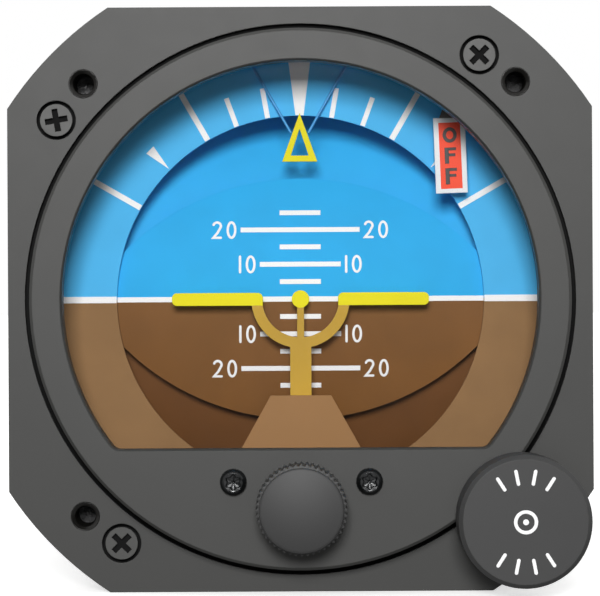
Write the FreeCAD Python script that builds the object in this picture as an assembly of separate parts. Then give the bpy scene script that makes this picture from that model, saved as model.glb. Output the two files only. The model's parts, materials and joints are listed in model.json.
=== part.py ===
import FreeCAD, Part
import math
import os

from FreeCAD import Vector

# Electric attitude indicator for a standard 3 1/8 inch panel hole.
# Millimetres. +X right as the pilot sees the dial, +Y from the dial to the rear, +Z up.
# The origin is on the instrument's axis, in the plane where the flange meets the panel.
# The width follows PILOT_R and the depth follows CARD_R, so either can be changed alone.

# ---------------------------------------------------------------- driving dimensions
# fits
FIT = 0.05                  # radial clearance of a pressed, glued or threaded fit
RUNNING = 0.04              # radial clearance of a shaft that turns or slides
SWEEP = 0.8                 # room around a large part that turns
CUT = 1.0                   # how far a cutting tool runs past the solid that it cuts

# panel interface
PILOT_R = 39.0              # raised ring that enters the panel hole
PILOT_PROUD = 4.5
PILOT_CHAMFER = 0.4
CASE_STEP = 2.0             # from the pilot ring out to the case barrel
FLANGE_LAND = 1.5           # from the case barrel out to the flange's side
FLANGE_CORNER_LAND = 9.8    # and to the circle that cuts its corners, 4 inches across
FLANGE_THICK = 6.0
GROOVE_WIDTH = 1.05         # relief groove around the raised ring
GROOVE_DEPTH = 1.2
BOLT_LAND = 3.45            # from the case barrel to the 3 1/2 inch bolt circle
INSERT_BORE_R = 1.53        # 6-32 thread, minor radius
INSERT_R = 2.1              # wire thread insert in a plain hole through the flange
MOUNT_MOUTH_R = 2.0
MOUNT_MOUTH_DEPTH = 0.4     # countersink at the thread's start
MOUNT_RELIEF = 2.0          # blind depth behind an insert for the end of a long screw

# window and glass
WINDOW_LAND = 4.7           # from the window's edge to the pilot ring's edge
WINDOW_FLAT_RISE = 12.85    # from the window circle's foot up to its flat edge
WINDOW_CORNER_R = 1.5
WINDOW_EDGE = 0.3
LIP_THICK = 2.2
GLASS_THICK = 2.0
GLASS_MARGIN = 1.3          # how far the glass reaches past the window
GASKET_THICK = 0.5
RETAINER_THICK = 0.7
RETAINER_WIDTH = 1.1
SILL_MARGIN = 0.1           # from the retainer to the rear of the solid segment below
CAVITY_WALL = 2.2

# flange screws
FLANGE_SCREW_LAND = 3.0     # from the case barrel to the screws' circle
FLANGE_SCREW_ANGLE = 53.5
FLANGE_SCREW_HEAD_R = 2.35
FLANGE_SCREW_HEAD = 1.5
FLANGE_SCREW_POCKET_R = 2.85
FLANGE_SCREW_SHANK_R = 1.2
CROSS_ARM = 3.3
CROSS_WIDTH = 0.85
CROSS_DEPTH = 0.8
CROSS_TURNS = (45.0, -10.0, 45.0, 45.0)
THREAD_SPARE = 0.5          # blind end of a screw's hole

# case
CASE_WALL = 1.8
CASE_GASKET = 0.5
CASE_FLANGE = 3.5
BULKHEAD_THICK = 3.5
BULKHEAD_HOLES = (0.0, 90.0, 180.0, 270.0)
BULKHEAD_HOLE_R = 8.0
BULKHEAD_HOLE_LAND = 6.0    # from the hub to the lightening holes
REAR_FLANGE_LAND = 4.5
REAR_FLANGE = 3.0
REAR_ROOM = 11.0            # from the power board's face to the cover's rear face
REAR_WALL = 2.0
REAR_CHAMFER = 1.5
REAR_SCREW_LAND = 2.4
REAR_SCREW_ANGLES = (30.0, 150.0, 210.0, 330.0)
REAR_SCREW_SHANK_R = 1.0
REAR_SCREW_HEAD_R = 1.9
REAR_SCREW_HEAD = 1.4
RIB_THICK = 1.2
RIB_FOOT = 14.0
RIB_SHORT = 4.0             # how far a rib stops before the hub's end

# roll spindle and its bearings
SPINDLE_R = 4.5
SPINDLE_TAIL = 12.0         # behind the hub
HUB_BORE_R = 9.0
HUB_R = 12.0
HUB_LENGTH = 24.0
BEARING_LENGTH = 4.0
BEARING_INNER_R = 5.9
BEARING_SHIELD = 0.4
BEARING_OUTER_WALL = 1.4
BEARING_INSET = 0.5

# dial: bank ring, drum, backdrop
RING_THICK = 0.6
RING_BAND = 10.95           # width of the bank ring
RING_GAP = 0.6              # behind the index pointer
DRUM_WALL = 0.8
FRAME_SETBACK = 12.9        # from the card's front to the gimbal's front ring
FRAME_THICK = 2.5
SHELL = 0.8
BACKDROP_GAP = 2.6          # from the card's front to the backdrop's
BACKDROP_MARGIN = 0.8       # inside the card arms
BACKDROP_FIT = 0.1
CARD_SLOT_GAP = 0.4

# pitch card and its pivots
CARD_R = 60.0
CARD_GAP = 0.4              # behind the bank ring
CARD_EDGE_GAP = 0.3
CARD_HALF_HEIGHT = 18.2
CARD_ARM_INSET = 7.4        # from the drum's bore to the arms
CARD_ARM_THICK = 1.0
CARD_TAB_HALF = 2.0
ARM_NECK_HALF = 3.0
ARM_GEAR_SIDE_HALF = 9.5
ARM_PLAIN_SIDE_HALF = 5.0
ARM_TAIL_HALF = 6.0
ARM_NECK_END = 5.0          # behind the gimbal's front ring
ARM_WIDE_START = 8.0        # before the pitch axis
ARM_WIDE_END = 6.0          # behind the card's pivot
ARM_HUB_R = 3.6
ARM_WINDOW_HALF = 6.6       # opening that the gyro's trunnion swings in
ARM_WINDOW_FRONT = 3.2
ARM_WINDOW_BACK = 3.8
ARM_LIGHT_START = 26.0      # tapered opening ahead of the pitch axis
ARM_LIGHT_END = 9.0
ARM_LIGHT_NARROW = 1.4
ARM_LIGHT_WIDE = 5.4
WEIGHT_START = 9.6          # behind the pivot
WEIGHT_END = 24.0
WEIGHT_HALF = 8.2
WEIGHT_REACH = 4.8
PIVOT_R = 1.5
PIVOT_HEAD_R = 2.4
PIVOT_HEAD = 0.6
PIVOT_END_PLAY = 0.2

# yoke
YOKE_GAP = 3.2              # from the card arms in to the yoke
YOKE_THICK = 2.6
YOKE_HALF = 8.0
YOKE_WAIST_HALF = 6.0
YOKE_WAIST = (9.0, 8.0)     # before the pitch axis, and behind the card's pivot
YOKE_EYE_R = 7.5
YOKE_WINDOW_HALF = 3.0
YOKE_WINDOW = (5.0, 12.0)   # behind the front ring, and before the pitch axis
YOKE_BAR_GAP = 9.4          # behind the gyro housing
YOKE_BAR_THICK = 5.0
YOKE_BAR_HOLE_R = 4.0
YOKE_BAR_HOLE_X = 18.0
YOKE_FRAME_LAND = 3.0       # from the front ring's bore out to the yoke's inner face

# gyro housing and its trunnions
TRUNNION_R = 2.0
TRUNNION_GRIP = 0.2
PITCH_BEARING_R = 3.6
GYRO_GAP = 5.0              # from the yoke in to the housing
GYRO_WALL = 1.5
GYRO_SHORT = 2.0            # how much less than its radius the housing's half height is
GYRO_LID = 7.0
GYRO_FOOT_CHAMFER = 2.0
GYRO_CROWN_RISE = 4.0
GYRO_CROWN_RUN = 6.0
GYRO_CROWN_THIN = 0.6
BOSS_R = 5.0
BOSS_GAP = 1.4
LID_BOSS_R = 4.0
ERECTOR_INSET = 12.0        # from the housing's wall to the magnet cup's
ERECTOR_HEIGHT = 5.0
ERECTOR_CHAMFER = 1.0

# gears between the gyro housing and the card
GEAR_MODULE = 0.5
PITCH_TEETH = 16
CARD_TEETH = 32
GEAR_STANDOFF = 1.1         # from the card arm's inner face
GEAR_WIDTH = 1.5
GEAR_SPARE = 20.0           # sector beyond the swing, degrees
BACKLASH = 0.12
PRESSURE_ANGLE = 20.0
ADDENDUM = 0.9              # in modules
RACK_ADDENDUM = 0.8
DEDENDUM = 1.15
PITCH_RANGE = 35.0

# rotor
ROTOR_GAP = 4.0             # from the housing's wall to the rim
ROTOR_RIM = 6.0
ROTOR_FOOT_GAP = 6.0
ROTOR_HEAD_GAP = 3.5
ROTOR_WEB = 3.0
ROTOR_HUB_R = 4.5
ROTOR_HUB = 2.5
ROTOR_CHAMFER = 1.0
ROTOR_SHAFT_R = 1.6
SHAFT_FIT = 0.01
SHAFT_FOOT = 1.0
SHAFT_HEAD = 2.2
STATOR_GAP = 0.8
STATOR_FIT = 0.1
STATOR_FOOT_GAP = 8.0
STATOR_HEIGHT = 13.5
STATOR_SLOTS = 6
STATOR_SLOT_HALF = 1.2
STATOR_SLOT_SHARE = 0.66    # of the ring's width
POST_R = 5.5
POST_TOP = 3.0
POST_BITE = 0.5

# index pointer over the bank ring
POINTER_GAP = 0.5           # behind the miniature aircraft
POINTER_THICK = 0.6
POINTER_LAP = 0.3           # of its tip over the ring
POINTER_HEIGHT = 7.25
POINTER_HALF = 2.62
POINTER_HOLE_DROP = 2.35
POINTER_HOLE_RISE = 0.9
POINTER_HOLE_HALF = 1.33
WIRE_R = 0.2
HANGER_ANGLE = 77.5
HANGER_R = 1.0
WIRE_END_X = 1.3
WIRE_END_DROP = 2.95        # below the pointer's tip

# miniature aircraft and its adjuster
SYMBOL_GAP = 0.2            # behind the mask
SYMBOL_THICK = 0.8
WING_INNER = 5.6
WING_OUTER = 19.1
WING_HALF = 0.95
WING_ROUNDING = 0.8         # of the half height
BALL_R = 1.3
CRADLE_R = 7.3
CRADLE_BAND = 1.6
STEM_HALF = 0.52
POST_HALF = 1.58
KNOB_INSET = 9.3            # from the pilot ring's edge in to the small knob's axis
PINION_MODULE = 0.4
PINION_TEETH = 14
PINION_PLAY = 0.1
PINION_WASHER = 0.5
PINION_WASHER_LAND = 1.2
RACK_WIDTH = 2.6
RACK_HEAD = 1.45            # above the window's flat edge
RACK_FOOT = 5.1             # below the knob's axis
RACK_LINK = 3.0
ADJUST_KNOB_R = 6.5
ADJUST_KNOB_FACE_R = 6.0
KNOB_LENGTH = 7.8
KNOB_GAP = 0.8
ADJUST_KNOB_CAP = 2.0
KNURLS = 48
KNURL_DEPTH = 0.3
ADJUST_SHAFT_R = 1.5
BUSHING_R = 3.0
BUSHING_LIP_R = 4.0
BUSHING_LIP = 0.4
MASK_GAP = 1.3              # behind the flange
MASK_THICK = 0.6
MASK_HOLE_LAND = 0.3
MASK_TOP = 7.15             # above the window's flat edge
MASK_TOP_HALF = 4.5
MASK_FOOT = 0.55            # below the window's flat edge
MASK_FOOT_HALF = 8.8
TAB_THICK = 1.0
TAB_PLAY = 0.1
TAB_END = 0.4               # behind the rack
RIGHT_TAB_HEAD = 0.3        # above the bracket
RIGHT_TAB_FOOT = 2.3        # below the knob's axis
LEFT_TAB_HEAD = 3.0         # above the rack's head
LEFT_TAB_FOOT = 5.5         # below it
BRACKET_LAND = 2.83         # from a pillar's axis to the bracket's side
BRACKET_THICK = 1.6
BRACKET_TOP = 1.85          # below the window's flat edge
BRACKET_FOOT = 4.3          # below the knob's axis
PILLAR_R = 2.3
ADJUST_SCREW_X = 9.77
ADJUST_SCREW_RISE = 3.5     # above the knob's axis
ADJUST_SCREW_R = 1.0
ADJUST_SCREW_HEAD_R = 1.95
ADJUST_SCREW_HEAD = 1.5
ADJUST_SCREW_BITE = 4.0     # into the bracket's pillar

# warning flag
FLAG_PIVOT_INSET = 1.56     # from the case barrel in to the staff
FLAG_PIVOT_ANGLE = 53.25
FLAG_GAP = 1.2              # behind the flange
FLAG_THICK = 0.5
FLAG_DROP = 4.8             # from the staff to the plate
FLAG_HEIGHT = 11.2
FLAG_WIDTH = 4.7
FLAG_LEFT = 3.6
FLAG_LEAN = 2.0
FLAG_HUB_R = 1.4
FLAG_HUB = 0.4              # behind the plate
FLAG_HUB_ROOM = 1.1
FLAG_SHAFT_R = 0.5
ARM_TOP_HALF = 1.2
ARM_FOOT = (0.6, 3.2)       # from the plate's left edge
ARM_LAP = 0.4
MOTOR_R = 2.3
MOTOR_Y = 2.4
MOTOR_ROOM_R = 1.4
MOTOR_WALL = 0.6
MOTOR_MOUTH = 1.0
MOTOR_LIP = 0.4
MAGNET_R = 1.1
MAGNET_LENGTH = 2.0
POCKET_LAND = 2.8           # from the case barrel out to the pocket for the swung flag
POCKET_LAP = 0.5
POCKET_DEPTH = 0.9
POCKET_ANGLES = (24.0, 37.0, 50.0)

# caging knob
CAGE_TRAVEL = 7.0
CAGE_KNOB_R = 9.4
CAGE_KNOB_CHAMFER = 0.6
CAGE_KNOB_BACK_CHAMFER = 0.4
CAGE_KNOB_CAP = 2.5
CAGE_ROD_R = 1.6
CAGE_ROD_TAIL = 1.4
CAGE_ROD_ROOM = 0.5
CAGE_ROOM_WALL = 0.8
TUNNEL_R = 4.6
TUNNEL_BORE_R = 3.2
BUSH_LENGTH = 6.0
CAGE_SPRING_LENGTH = 18.0
CAGE_SPRING_TURNS = 6
CAGE_SPRING_WIRE = 0.7
COLLAR_LENGTH = 2.0
COLLAR_GAP = 0.3
CAM_R = 12.0
CAM_FLANGE = 2.0
CAM_FLANGE_STEP = 2.0
CAM_LOW = 1.2
CAM_RISE = 2.8
CAM_NOTCH_HALF = 4.6
ROLLER_R = 2.0
ROLLER_LENGTH = 3.0
ROLLER_INNER = 8.4
ROLLER_GAP = 0.3
ROLLER_PLAY = 0.1
ROLLER_PIN_R = 0.8
ROLLER_PIN_END = 0.6
FORK_HALF = 2.2
FORK_ROOM = 0.6
FORK_END_ROOM = 1.5

# electrics
RING_COUNT = 4
SLIP_RING_R = 6.8
SLIP_SLEEVE_R = 5.8
SLIP_PITCH = 2.2
SLIP_RING_WIDTH = 1.2
SLIP_END = 0.6
SLIP_SLEEVE_LAP = 0.8
BRUSH_REACH = 10.0
BRUSH_HALF = 0.6
BRUSH_WIDTH = 0.6
BRUSH_BLOCK_THICK = 5.0
BRUSH_BLOCK_HALF = 5.0
BRUSH_FOOT_LAP = 0.6
BRUSH_FOOT = 2.0
BOARD_GAP = 3.0             # behind the spindle
BOARD_THICK = 1.6
BOARD_LAND = 3.2            # inside the case bore
STANDOFF_R = 2.0
STANDOFF_INSET = 3.0
STANDOFF_ANGLES = (70.0, 160.0, 250.0, 340.0)
TRANSFORMER = (-27.0, -13.0, -6.0, 8.0, 12.0)       # x, x, z, z, height
FILTER_BLOCK = (14.0, 26.0, -16.0, -6.0, 9.0)
CAPACITOR_R = 4.0
CAPACITOR_HEIGHT = 14.0
CAPACITOR_PLACES = ((-6.0, 20.0), (4.0, 20.0))
CONNECTOR_Z = -14.0
CONNECTOR_R = 9.4
CONNECTOR_WALL = 1.1
CONNECTOR_LENGTH = 14.0
CONNECTOR_THREAD = 8.0
CONNECTOR_COLLAR = 0.6
CONNECTOR_PLATE = 24.0
CONNECTOR_PLATE_THICK = 1.6
CONNECTOR_PLATE_ROUNDING = 2.0
CONNECTOR_SCREW_INSET = 2.6
CONNECTOR_INSERT = (4.0, 4.0)       # before and behind the cover's rear face
CONNECTOR_PINS = 6
PIN_R = 0.8
PIN_REACH = (6.0, 11.0)
PIN_CIRCLE_R = 5.0

# ---------------------------------------------------------------- derived places
# across
CASE_R = PILOT_R + CASE_STEP
CASE_BORE_R = CASE_R - CASE_WALL
FLANGE_SIDE = 2 * (CASE_R + FLANGE_LAND)
FLANGE_CORNER_R = CASE_R + FLANGE_CORNER_LAND
BOLT_XZ = (CASE_R + BOLT_LAND) * math.sqrt(0.5)
FLANGE_SCREW_R = CASE_R + FLANGE_SCREW_LAND
REAR_FLANGE_R = CASE_R + REAR_FLANGE_LAND
REAR_SCREW_R = CASE_R + REAR_SCREW_LAND
CAVITY_R = PILOT_R - CAVITY_WALL
WINDOW_R = PILOT_R - WINDOW_LAND
WINDOW_FLAT_Z = WINDOW_FLAT_RISE - WINDOW_R
GLASS_R = WINDOW_R + GLASS_MARGIN
GLASS_FLAT_Z = WINDOW_FLAT_Z - GLASS_MARGIN
DRUM_R = CASE_BORE_R - SWEEP
DRUM_BORE_R = DRUM_R - DRUM_WALL
RING_BORE_R = DRUM_R - RING_BAND
CARD_OUTLINE_R = DRUM_BORE_R - CARD_EDGE_GAP
CARD_ARM_X = DRUM_BORE_R - CARD_ARM_INSET
BACKDROP_HALF = CARD_ARM_X - BACKDROP_MARGIN
GEAR_X = CARD_ARM_X + GEAR_STANDOFF
WEIGHT_X = CARD_ARM_X + WEIGHT_REACH
YOKE_X = CARD_ARM_X - YOKE_GAP
YOKE_OUT_X = YOKE_X + YOKE_THICK
FRAME_BORE_R = YOKE_X - YOKE_FRAME_LAND
BOSS_REACH = YOKE_X - BOSS_GAP
BOARD_R = CASE_BORE_R - BOARD_LAND
BEYOND = 2 * CASE_R         # outside everything, for the far side of a cutting tool

# gyro
GYRO_R = YOKE_X - GYRO_GAP
GYRO_BORE_R = GYRO_R - GYRO_WALL
GYRO_TOP = GYRO_R - GYRO_SHORT
GYRO_BOTTOM = -GYRO_TOP
GYRO_SPLIT = GYRO_TOP - GYRO_LID
GYRO_FLOOR = GYRO_BOTTOM + GYRO_WALL
ERECTOR_R = GYRO_R - ERECTOR_INSET
ROTOR_R = GYRO_R - ROTOR_GAP
ROTOR_BORE_R = ROTOR_R - ROTOR_RIM
ROTOR_BOTTOM = GYRO_BOTTOM + ROTOR_FOOT_GAP
ROTOR_TOP = GYRO_SPLIT - ROTOR_HEAD_GAP
STATOR_R = ROTOR_BORE_R - STATOR_GAP
STATOR_BORE_R = POST_R + STATOR_FIT
STATOR_BOTTOM = GYRO_BOTTOM + STATOR_FOOT_GAP

# along the axis, front to rear
PILOT_FACE_Y = -PILOT_PROUD
KNOB_BACK_Y = PILOT_FACE_Y - KNOB_GAP
KNOB_FACE_Y = KNOB_BACK_Y - KNOB_LENGTH
GLASS_Y = PILOT_FACE_Y + LIP_THICK
GLASS_END = GLASS_Y + GLASS_THICK
SILL_Y = GLASS_END + GASKET_THICK + RETAINER_THICK + SILL_MARGIN
CASE_Y = FLANGE_THICK + CASE_GASKET
CASE_FLANGE_END = CASE_Y + CASE_FLANGE
FLAG_Y = FLANGE_THICK + FLAG_GAP
FLAG_END = FLAG_Y + FLAG_THICK
MASK_Y = FLANGE_THICK + MASK_GAP
SYMBOL_Y = MASK_Y + MASK_THICK + SYMBOL_GAP
SYMBOL_END = SYMBOL_Y + SYMBOL_THICK
POINTER_Y = SYMBOL_END + POINTER_GAP
POINTER_END = POINTER_Y + POINTER_THICK
RING_Y = POINTER_END + RING_GAP
DRUM_Y = RING_Y + RING_THICK
CARD_FRONT_Y = DRUM_Y + CARD_GAP
FRAME_Y = CARD_FRONT_Y + FRAME_SETBACK
FRAME_END = FRAME_Y + FRAME_THICK
CARD_PIVOT_Y = CARD_FRONT_Y + CARD_R
BACKDROP_R = CARD_R - BACKDROP_GAP
PITCH_AXIS_Y = CARD_PIVOT_Y - GEAR_MODULE * (PITCH_TEETH + CARD_TEETH) / 2
YOKE_BAR_Y = PITCH_AXIS_Y + GYRO_R + YOKE_BAR_GAP
YOKE_BAR_END = YOKE_BAR_Y + YOKE_BAR_THICK
CAM_Y = YOKE_BAR_END + CAM_FLANGE
CAM_CREST_Y = CAM_Y + CAM_LOW + CAM_RISE
ROLLER_Y = CAM_CREST_Y + ROLLER_GAP + ROLLER_R + CAGE_TRAVEL
BULKHEAD_Y = ROLLER_Y + FORK_HALF + FORK_END_ROOM
COVER_Y = BULKHEAD_Y + BULKHEAD_THICK
HUB_END_Y = BULKHEAD_Y + HUB_LENGTH
SPINDLE_END_Y = HUB_END_Y + SPINDLE_TAIL
BOARD_Y = SPINDLE_END_Y + BOARD_GAP
REAR_END_Y = BOARD_Y + REAR_ROOM

# pointer, adjuster, flag and caging places
POINTER_APEX_Z = RING_BORE_R + POINTER_LAP
POINTER_BASE_Z = POINTER_APEX_Z - POINTER_HEIGHT
KNOB_Z = KNOB_INSET - PILOT_R
PINION_R = PINION_MODULE * PINION_TEETH / 2
RACK_OUT_X = PINION_R + RACK_WIDTH
RACK_TOP_Z = WINDOW_FLAT_Z + RACK_HEAD
RACK_BOTTOM_Z = KNOB_Z - RACK_FOOT
BRACKET_HALF = ADJUST_SCREW_X + BRACKET_LAND
BRACKET_TOP_Z = WINDOW_FLAT_Z - BRACKET_TOP
BRACKET_BOTTOM_Z = KNOB_Z - BRACKET_FOOT
MASK_TOP_Z = WINDOW_FLAT_Z + MASK_TOP
MASK_FOOT_Z = WINDOW_FLAT_Z - MASK_FOOT
ADJUST_SCREW_Z = KNOB_Z + ADJUST_SCREW_RISE
FLAG_PIVOT_R = CASE_R - FLAG_PIVOT_INSET
FLAG_PIVOT_X = FLAG_PIVOT_R * math.cos(math.radians(FLAG_PIVOT_ANGLE))
FLAG_PIVOT_Z = FLAG_PIVOT_R * math.sin(math.radians(FLAG_PIVOT_ANGLE))
FLAG_LEFT_X = FLAG_PIVOT_X - FLAG_LEFT
FLAG_TOP_Z = FLAG_PIVOT_Z - FLAG_DROP
FLAG_BOTTOM_Z = FLAG_TOP_Z - FLAG_HEIGHT
CAGE_X, CAGE_Z = BOLT_XZ, -BOLT_XZ
CAGE_REACH = CASE_R + BOLT_LAND


# ---------------------------------------------------------------- shape helpers
def box(x0, x1, y0, y1, z0, z1):
    return Part.makeBox(x1 - x0, y1 - y0, z1 - z0, Vector(x0, y0, z0))


def rod_x(radius, x0, x1, y=0.0, z=0.0):
    return Part.makeCylinder(radius, x1 - x0, Vector(x0, y, z), Vector(1, 0, 0))


def rod_y(radius, y0, y1, x=0.0, z=0.0):
    return Part.makeCylinder(radius, y1 - y0, Vector(x, y0, z), Vector(0, 1, 0))


def rod_z(radius, z0, z1, x=0.0, y=0.0):
    return Part.makeCylinder(radius, z1 - z0, Vector(x, y, z0), Vector(0, 0, 1))


def bore_y(radius, y0, y1, x=0.0, z=0.0):
    """Cutting rod along Y that runs past both ends."""
    return rod_y(radius, y0 - CUT, y1 + CUT, x, z)


def tube_y(outer, inner, y0, y1, x=0.0, z=0.0):
    return rod_y(outer, y0, y1, x, z).cut(bore_y(inner, y0, y1, x, z))


def tube_x(outer, inner, x0, x1, y, z):
    return rod_x(outer, x0, x1, y, z).cut(rod_x(inner, x0 - CUT, x1 + CUT, y, z))


def face_of(corners):
    return Part.Face(Part.makePolygon(corners + corners[:1]))


def prism_y(outline, y0, y1):
    """Extrude an outline of (x, z) corners along Y."""
    return face_of([Vector(x, y0, z) for x, z in outline]).extrude(Vector(0, y1 - y0, 0))


def prism_x(outline, x0, x1):
    """Extrude an outline of (y, z) corners along X."""
    return face_of([Vector(x0, y, z) for y, z in outline]).extrude(Vector(x1 - x0, 0, 0))


def turned_y(profile, x=0.0, z=0.0):
    """Revolve a profile of (radius, y) corners about an axis along Y."""
    section = face_of([Vector(x + radius, y, z) for radius, y in profile])
    return section.revolve(Vector(x, 0, z), Vector(0, 1, 0), 360)


def turned_z(profile, x=0.0, y=0.0):
    """Revolve a profile of (radius, z) corners about an axis along Z."""
    section = face_of([Vector(x + radius, y, z) for radius, z in profile])
    return section.revolve(Vector(x, y, 0), Vector(0, 0, 1), 360)


def fused(shapes):
    whole = shapes[0]
    for shape in shapes[1:]:
        whole = whole.fuse(shape)
    return whole.removeSplitter()


def cut_all(shape, tools):
    for tool in tools:
        shape = shape.cut(tool)
    return shape


def turn_y(shape, degrees, x=0.0, z=0.0):
    """Turn a copy about an axis along +Y."""
    copy = shape.copy()
    copy.rotate(Vector(x, 0, z), Vector(0, 1, 0), degrees)
    return copy


def mirror_x(shape):
    return shape.mirror(Vector(0, 0, 0), Vector(1, 0, 0))


def polar(radius, degrees):
    angle = math.radians(degrees)
    return radius * math.cos(angle), radius * math.sin(angle)


def save(node, *solids):
    shape = solids[0] if len(solids) == 1 else Part.makeCompound(list(solids))
    shape.exportStep(f"parts/{node}.step")


def flange_outline(y0, y1):
    square = box(-FLANGE_SIDE / 2, FLANGE_SIDE / 2, y0, y1, -FLANGE_SIDE / 2, FLANGE_SIDE / 2)
    return square.common(rod_y(FLANGE_CORNER_R, y0, y1))


def d_disc(radius, flat_z, corner, y0, y1):
    """A disc with a flat along its bottom edge and rounded corners."""
    below = box(-radius, radius, y0 - CUT, y1 + CUT, -2 * radius, flat_z)
    disc = rod_y(radius, y0, y1).cut(below)
    corners = [
        edge for edge in disc.Edges
        if abs(edge.BoundBox.YLength - (y1 - y0)) < 1e-6
        and edge.BoundBox.XLength < 1e-6
        and abs(edge.BoundBox.ZMin - flat_z) < 1e-3
    ]
    return disc.makeFillet(corner, corners)


def gear_outline(teeth, module, first_tooth):
    """Involute teeth as (a, b) corners about the centre, one tooth centred on first_tooth degrees."""
    pressure = math.radians(PRESSURE_ANGLE)
    pitch_r = module * teeth / 2
    base_r = pitch_r * math.cos(pressure)
    root_r = pitch_r - DEDENDUM * module
    tip_r = pitch_r + ADDENDUM * module
    half_at_pitch = math.pi / (2 * teeth) - BACKLASH / (4 * pitch_r)

    def involute(angle):
        return math.tan(angle) - angle

    def half_angle(radius):
        if radius <= base_r:
            return half_at_pitch + involute(pressure)
        return half_at_pitch + involute(pressure) - involute(math.acos(base_r / radius))

    radii = [root_r, max(base_r, root_r + SHAFT_FIT), pitch_r, tip_r]
    outline = []
    for tooth in range(teeth):
        centre = math.radians(first_tooth) + 2 * math.pi * tooth / teeth
        for radius in radii:
            angle = centre - half_angle(radius)
            outline.append((radius * math.cos(angle), radius * math.sin(angle)))
        for radius in reversed(radii):
            angle = centre + half_angle(radius)
            outline.append((radius * math.cos(angle), radius * math.sin(angle)))
    return outline


def screw_y(x, z, head_r, head, shank_r, length, seat_y, facing=1):
    """A pan screw along Y whose head lies on the seat and whose shank runs towards facing."""
    head_end = seat_y - facing * head
    shank_end = seat_y + facing * length
    crown = rod_y(head_r, min(seat_y, head_end), max(seat_y, head_end), x, z)
    shank = rod_y(shank_r, min(seat_y, shank_end), max(seat_y, shank_end), x, z)
    return crown.fuse(shank)


# ---------------------------------------------------------------- places used by several pieces
def mount_places():
    return [(-BOLT_XZ, BOLT_XZ), (BOLT_XZ, BOLT_XZ), (-BOLT_XZ, -BOLT_XZ)]


def flange_screw_places():
    return [polar(FLANGE_SCREW_R, FLANGE_SCREW_ANGLE + 90 * turn) for turn in range(4)]


def adjust_screw_places():
    return [(-ADJUST_SCREW_X, ADJUST_SCREW_Z), (ADJUST_SCREW_X, ADJUST_SCREW_Z)]


def rear_screw_places():
    return [polar(REAR_SCREW_R, angle) for angle in REAR_SCREW_ANGLES]


def connector_screw_places():
    reach = CONNECTOR_PLATE / 2 - CONNECTOR_SCREW_INSET
    return [(sx * reach, CONNECTOR_Z + sz * reach) for sx in (-1, 1) for sz in (-1, 1)]


def pin_places():
    places = [polar(PIN_CIRCLE_R, 90 + 360 * pin / CONNECTOR_PINS) for pin in range(CONNECTOR_PINS)]
    return [(x, z + CONNECTOR_Z) for x, z in places]


# ---------------------------------------------------------------- front: bezel, glass, fasteners
def bezel():
    """Square flange with the raised pilot ring, the window and every hole of the front."""
    ring = rod_y(PILOT_R, PILOT_FACE_Y, FLANGE_THICK)
    front_edge = [e for e in ring.Edges if abs(e.BoundBox.YMax - PILOT_FACE_Y) < 1e-6]
    ring = ring.makeChamfer(PILOT_CHAMFER, front_edge)
    groove = rod_y(PILOT_R + GROOVE_WIDTH, -CUT, GROOVE_DEPTH)
    body = flange_outline(0, FLANGE_THICK).cut(groove).fuse(ring)
    window = d_disc(WINDOW_R, WINDOW_FLAT_Z, WINDOW_CORNER_R, PILOT_FACE_Y - CUT, SILL_Y)
    pocket = d_disc(GLASS_R + FIT, GLASS_FLAT_Z - FIT, WINDOW_CORNER_R, GLASS_Y, SILL_Y)
    body = cut_all(body, [window, pocket, rod_y(CAVITY_R, SILL_Y, FLANGE_THICK + CUT)])
    margin = WINDOW_EDGE / 2
    rim = [
        e for e in body.Edges
        if abs(e.BoundBox.YMax - PILOT_FACE_Y) < 1e-6
        and abs(e.BoundBox.YMin - PILOT_FACE_Y) < 1e-6
        and e.BoundBox.XMax < WINDOW_R + margin
        and e.BoundBox.XMin > -WINDOW_R - margin
        and e.BoundBox.ZMin > WINDOW_FLAT_Z - margin
    ]
    body = body.makeChamfer(WINDOW_EDGE, rim)
    holes = []
    for x, z in mount_places():
        holes.append(bore_y(INSERT_R, 0, FLANGE_THICK, x, z))
    for x, z in flange_screw_places():
        holes.append(rod_y(FLANGE_SCREW_POCKET_R, -CUT, FLANGE_SCREW_HEAD, x, z))
        holes.append(bore_y(FLANGE_SCREW_SHANK_R + FIT, 0, FLANGE_THICK, x, z))
    for x, z in adjust_screw_places():
        holes.append(bore_y(ADJUST_SCREW_R + FIT, PILOT_FACE_Y, SILL_Y, x, z))
    holes.append(bore_y(BUSHING_R, PILOT_FACE_Y, SILL_Y, 0, KNOB_Z))
    holes.append(bore_y(CAGE_ROD_R + RUNNING, 0, FLANGE_THICK, CAGE_X, CAGE_Z))
    holes.append(rod_y(MOTOR_R + FIT, MOTOR_Y, FLANGE_THICK + CUT, FLAG_PIVOT_X, FLAG_PIVOT_Z))
    save("bezel", cut_all(body, holes))


def window_glass():
    save("window_glass", d_disc(GLASS_R, GLASS_FLAT_Z, WINDOW_CORNER_R, GLASS_Y, GLASS_END))


def d_ring(y0, y1, width):
    outer = d_disc(GLASS_R, GLASS_FLAT_Z, WINDOW_CORNER_R, y0, y1)
    inner = d_disc(GLASS_R - width, GLASS_FLAT_Z + width, WINDOW_CORNER_R, y0, y1)
    return outer.cut(inner)


def glass_gasket():
    save("glass_gasket", d_ring(GLASS_END, GLASS_END + GASKET_THICK, RETAINER_WIDTH))


def glass_retainer():
    start = GLASS_END + GASKET_THICK
    save("glass_retainer", d_ring(start, start + RETAINER_THICK, RETAINER_WIDTH))


def mount_inserts():
    """Threaded inserts as long as the flange is thick, each with a countersunk mouth."""
    profile = [
        (MOUNT_MOUTH_R, 0), (INSERT_R - FIT, 0), (INSERT_R - FIT, FLANGE_THICK),
        (INSERT_BORE_R, FLANGE_THICK), (INSERT_BORE_R, MOUNT_MOUTH_DEPTH),
    ]
    save("mount_inserts", *[turned_y(profile, x, z) for x, z in mount_places()])


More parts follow.
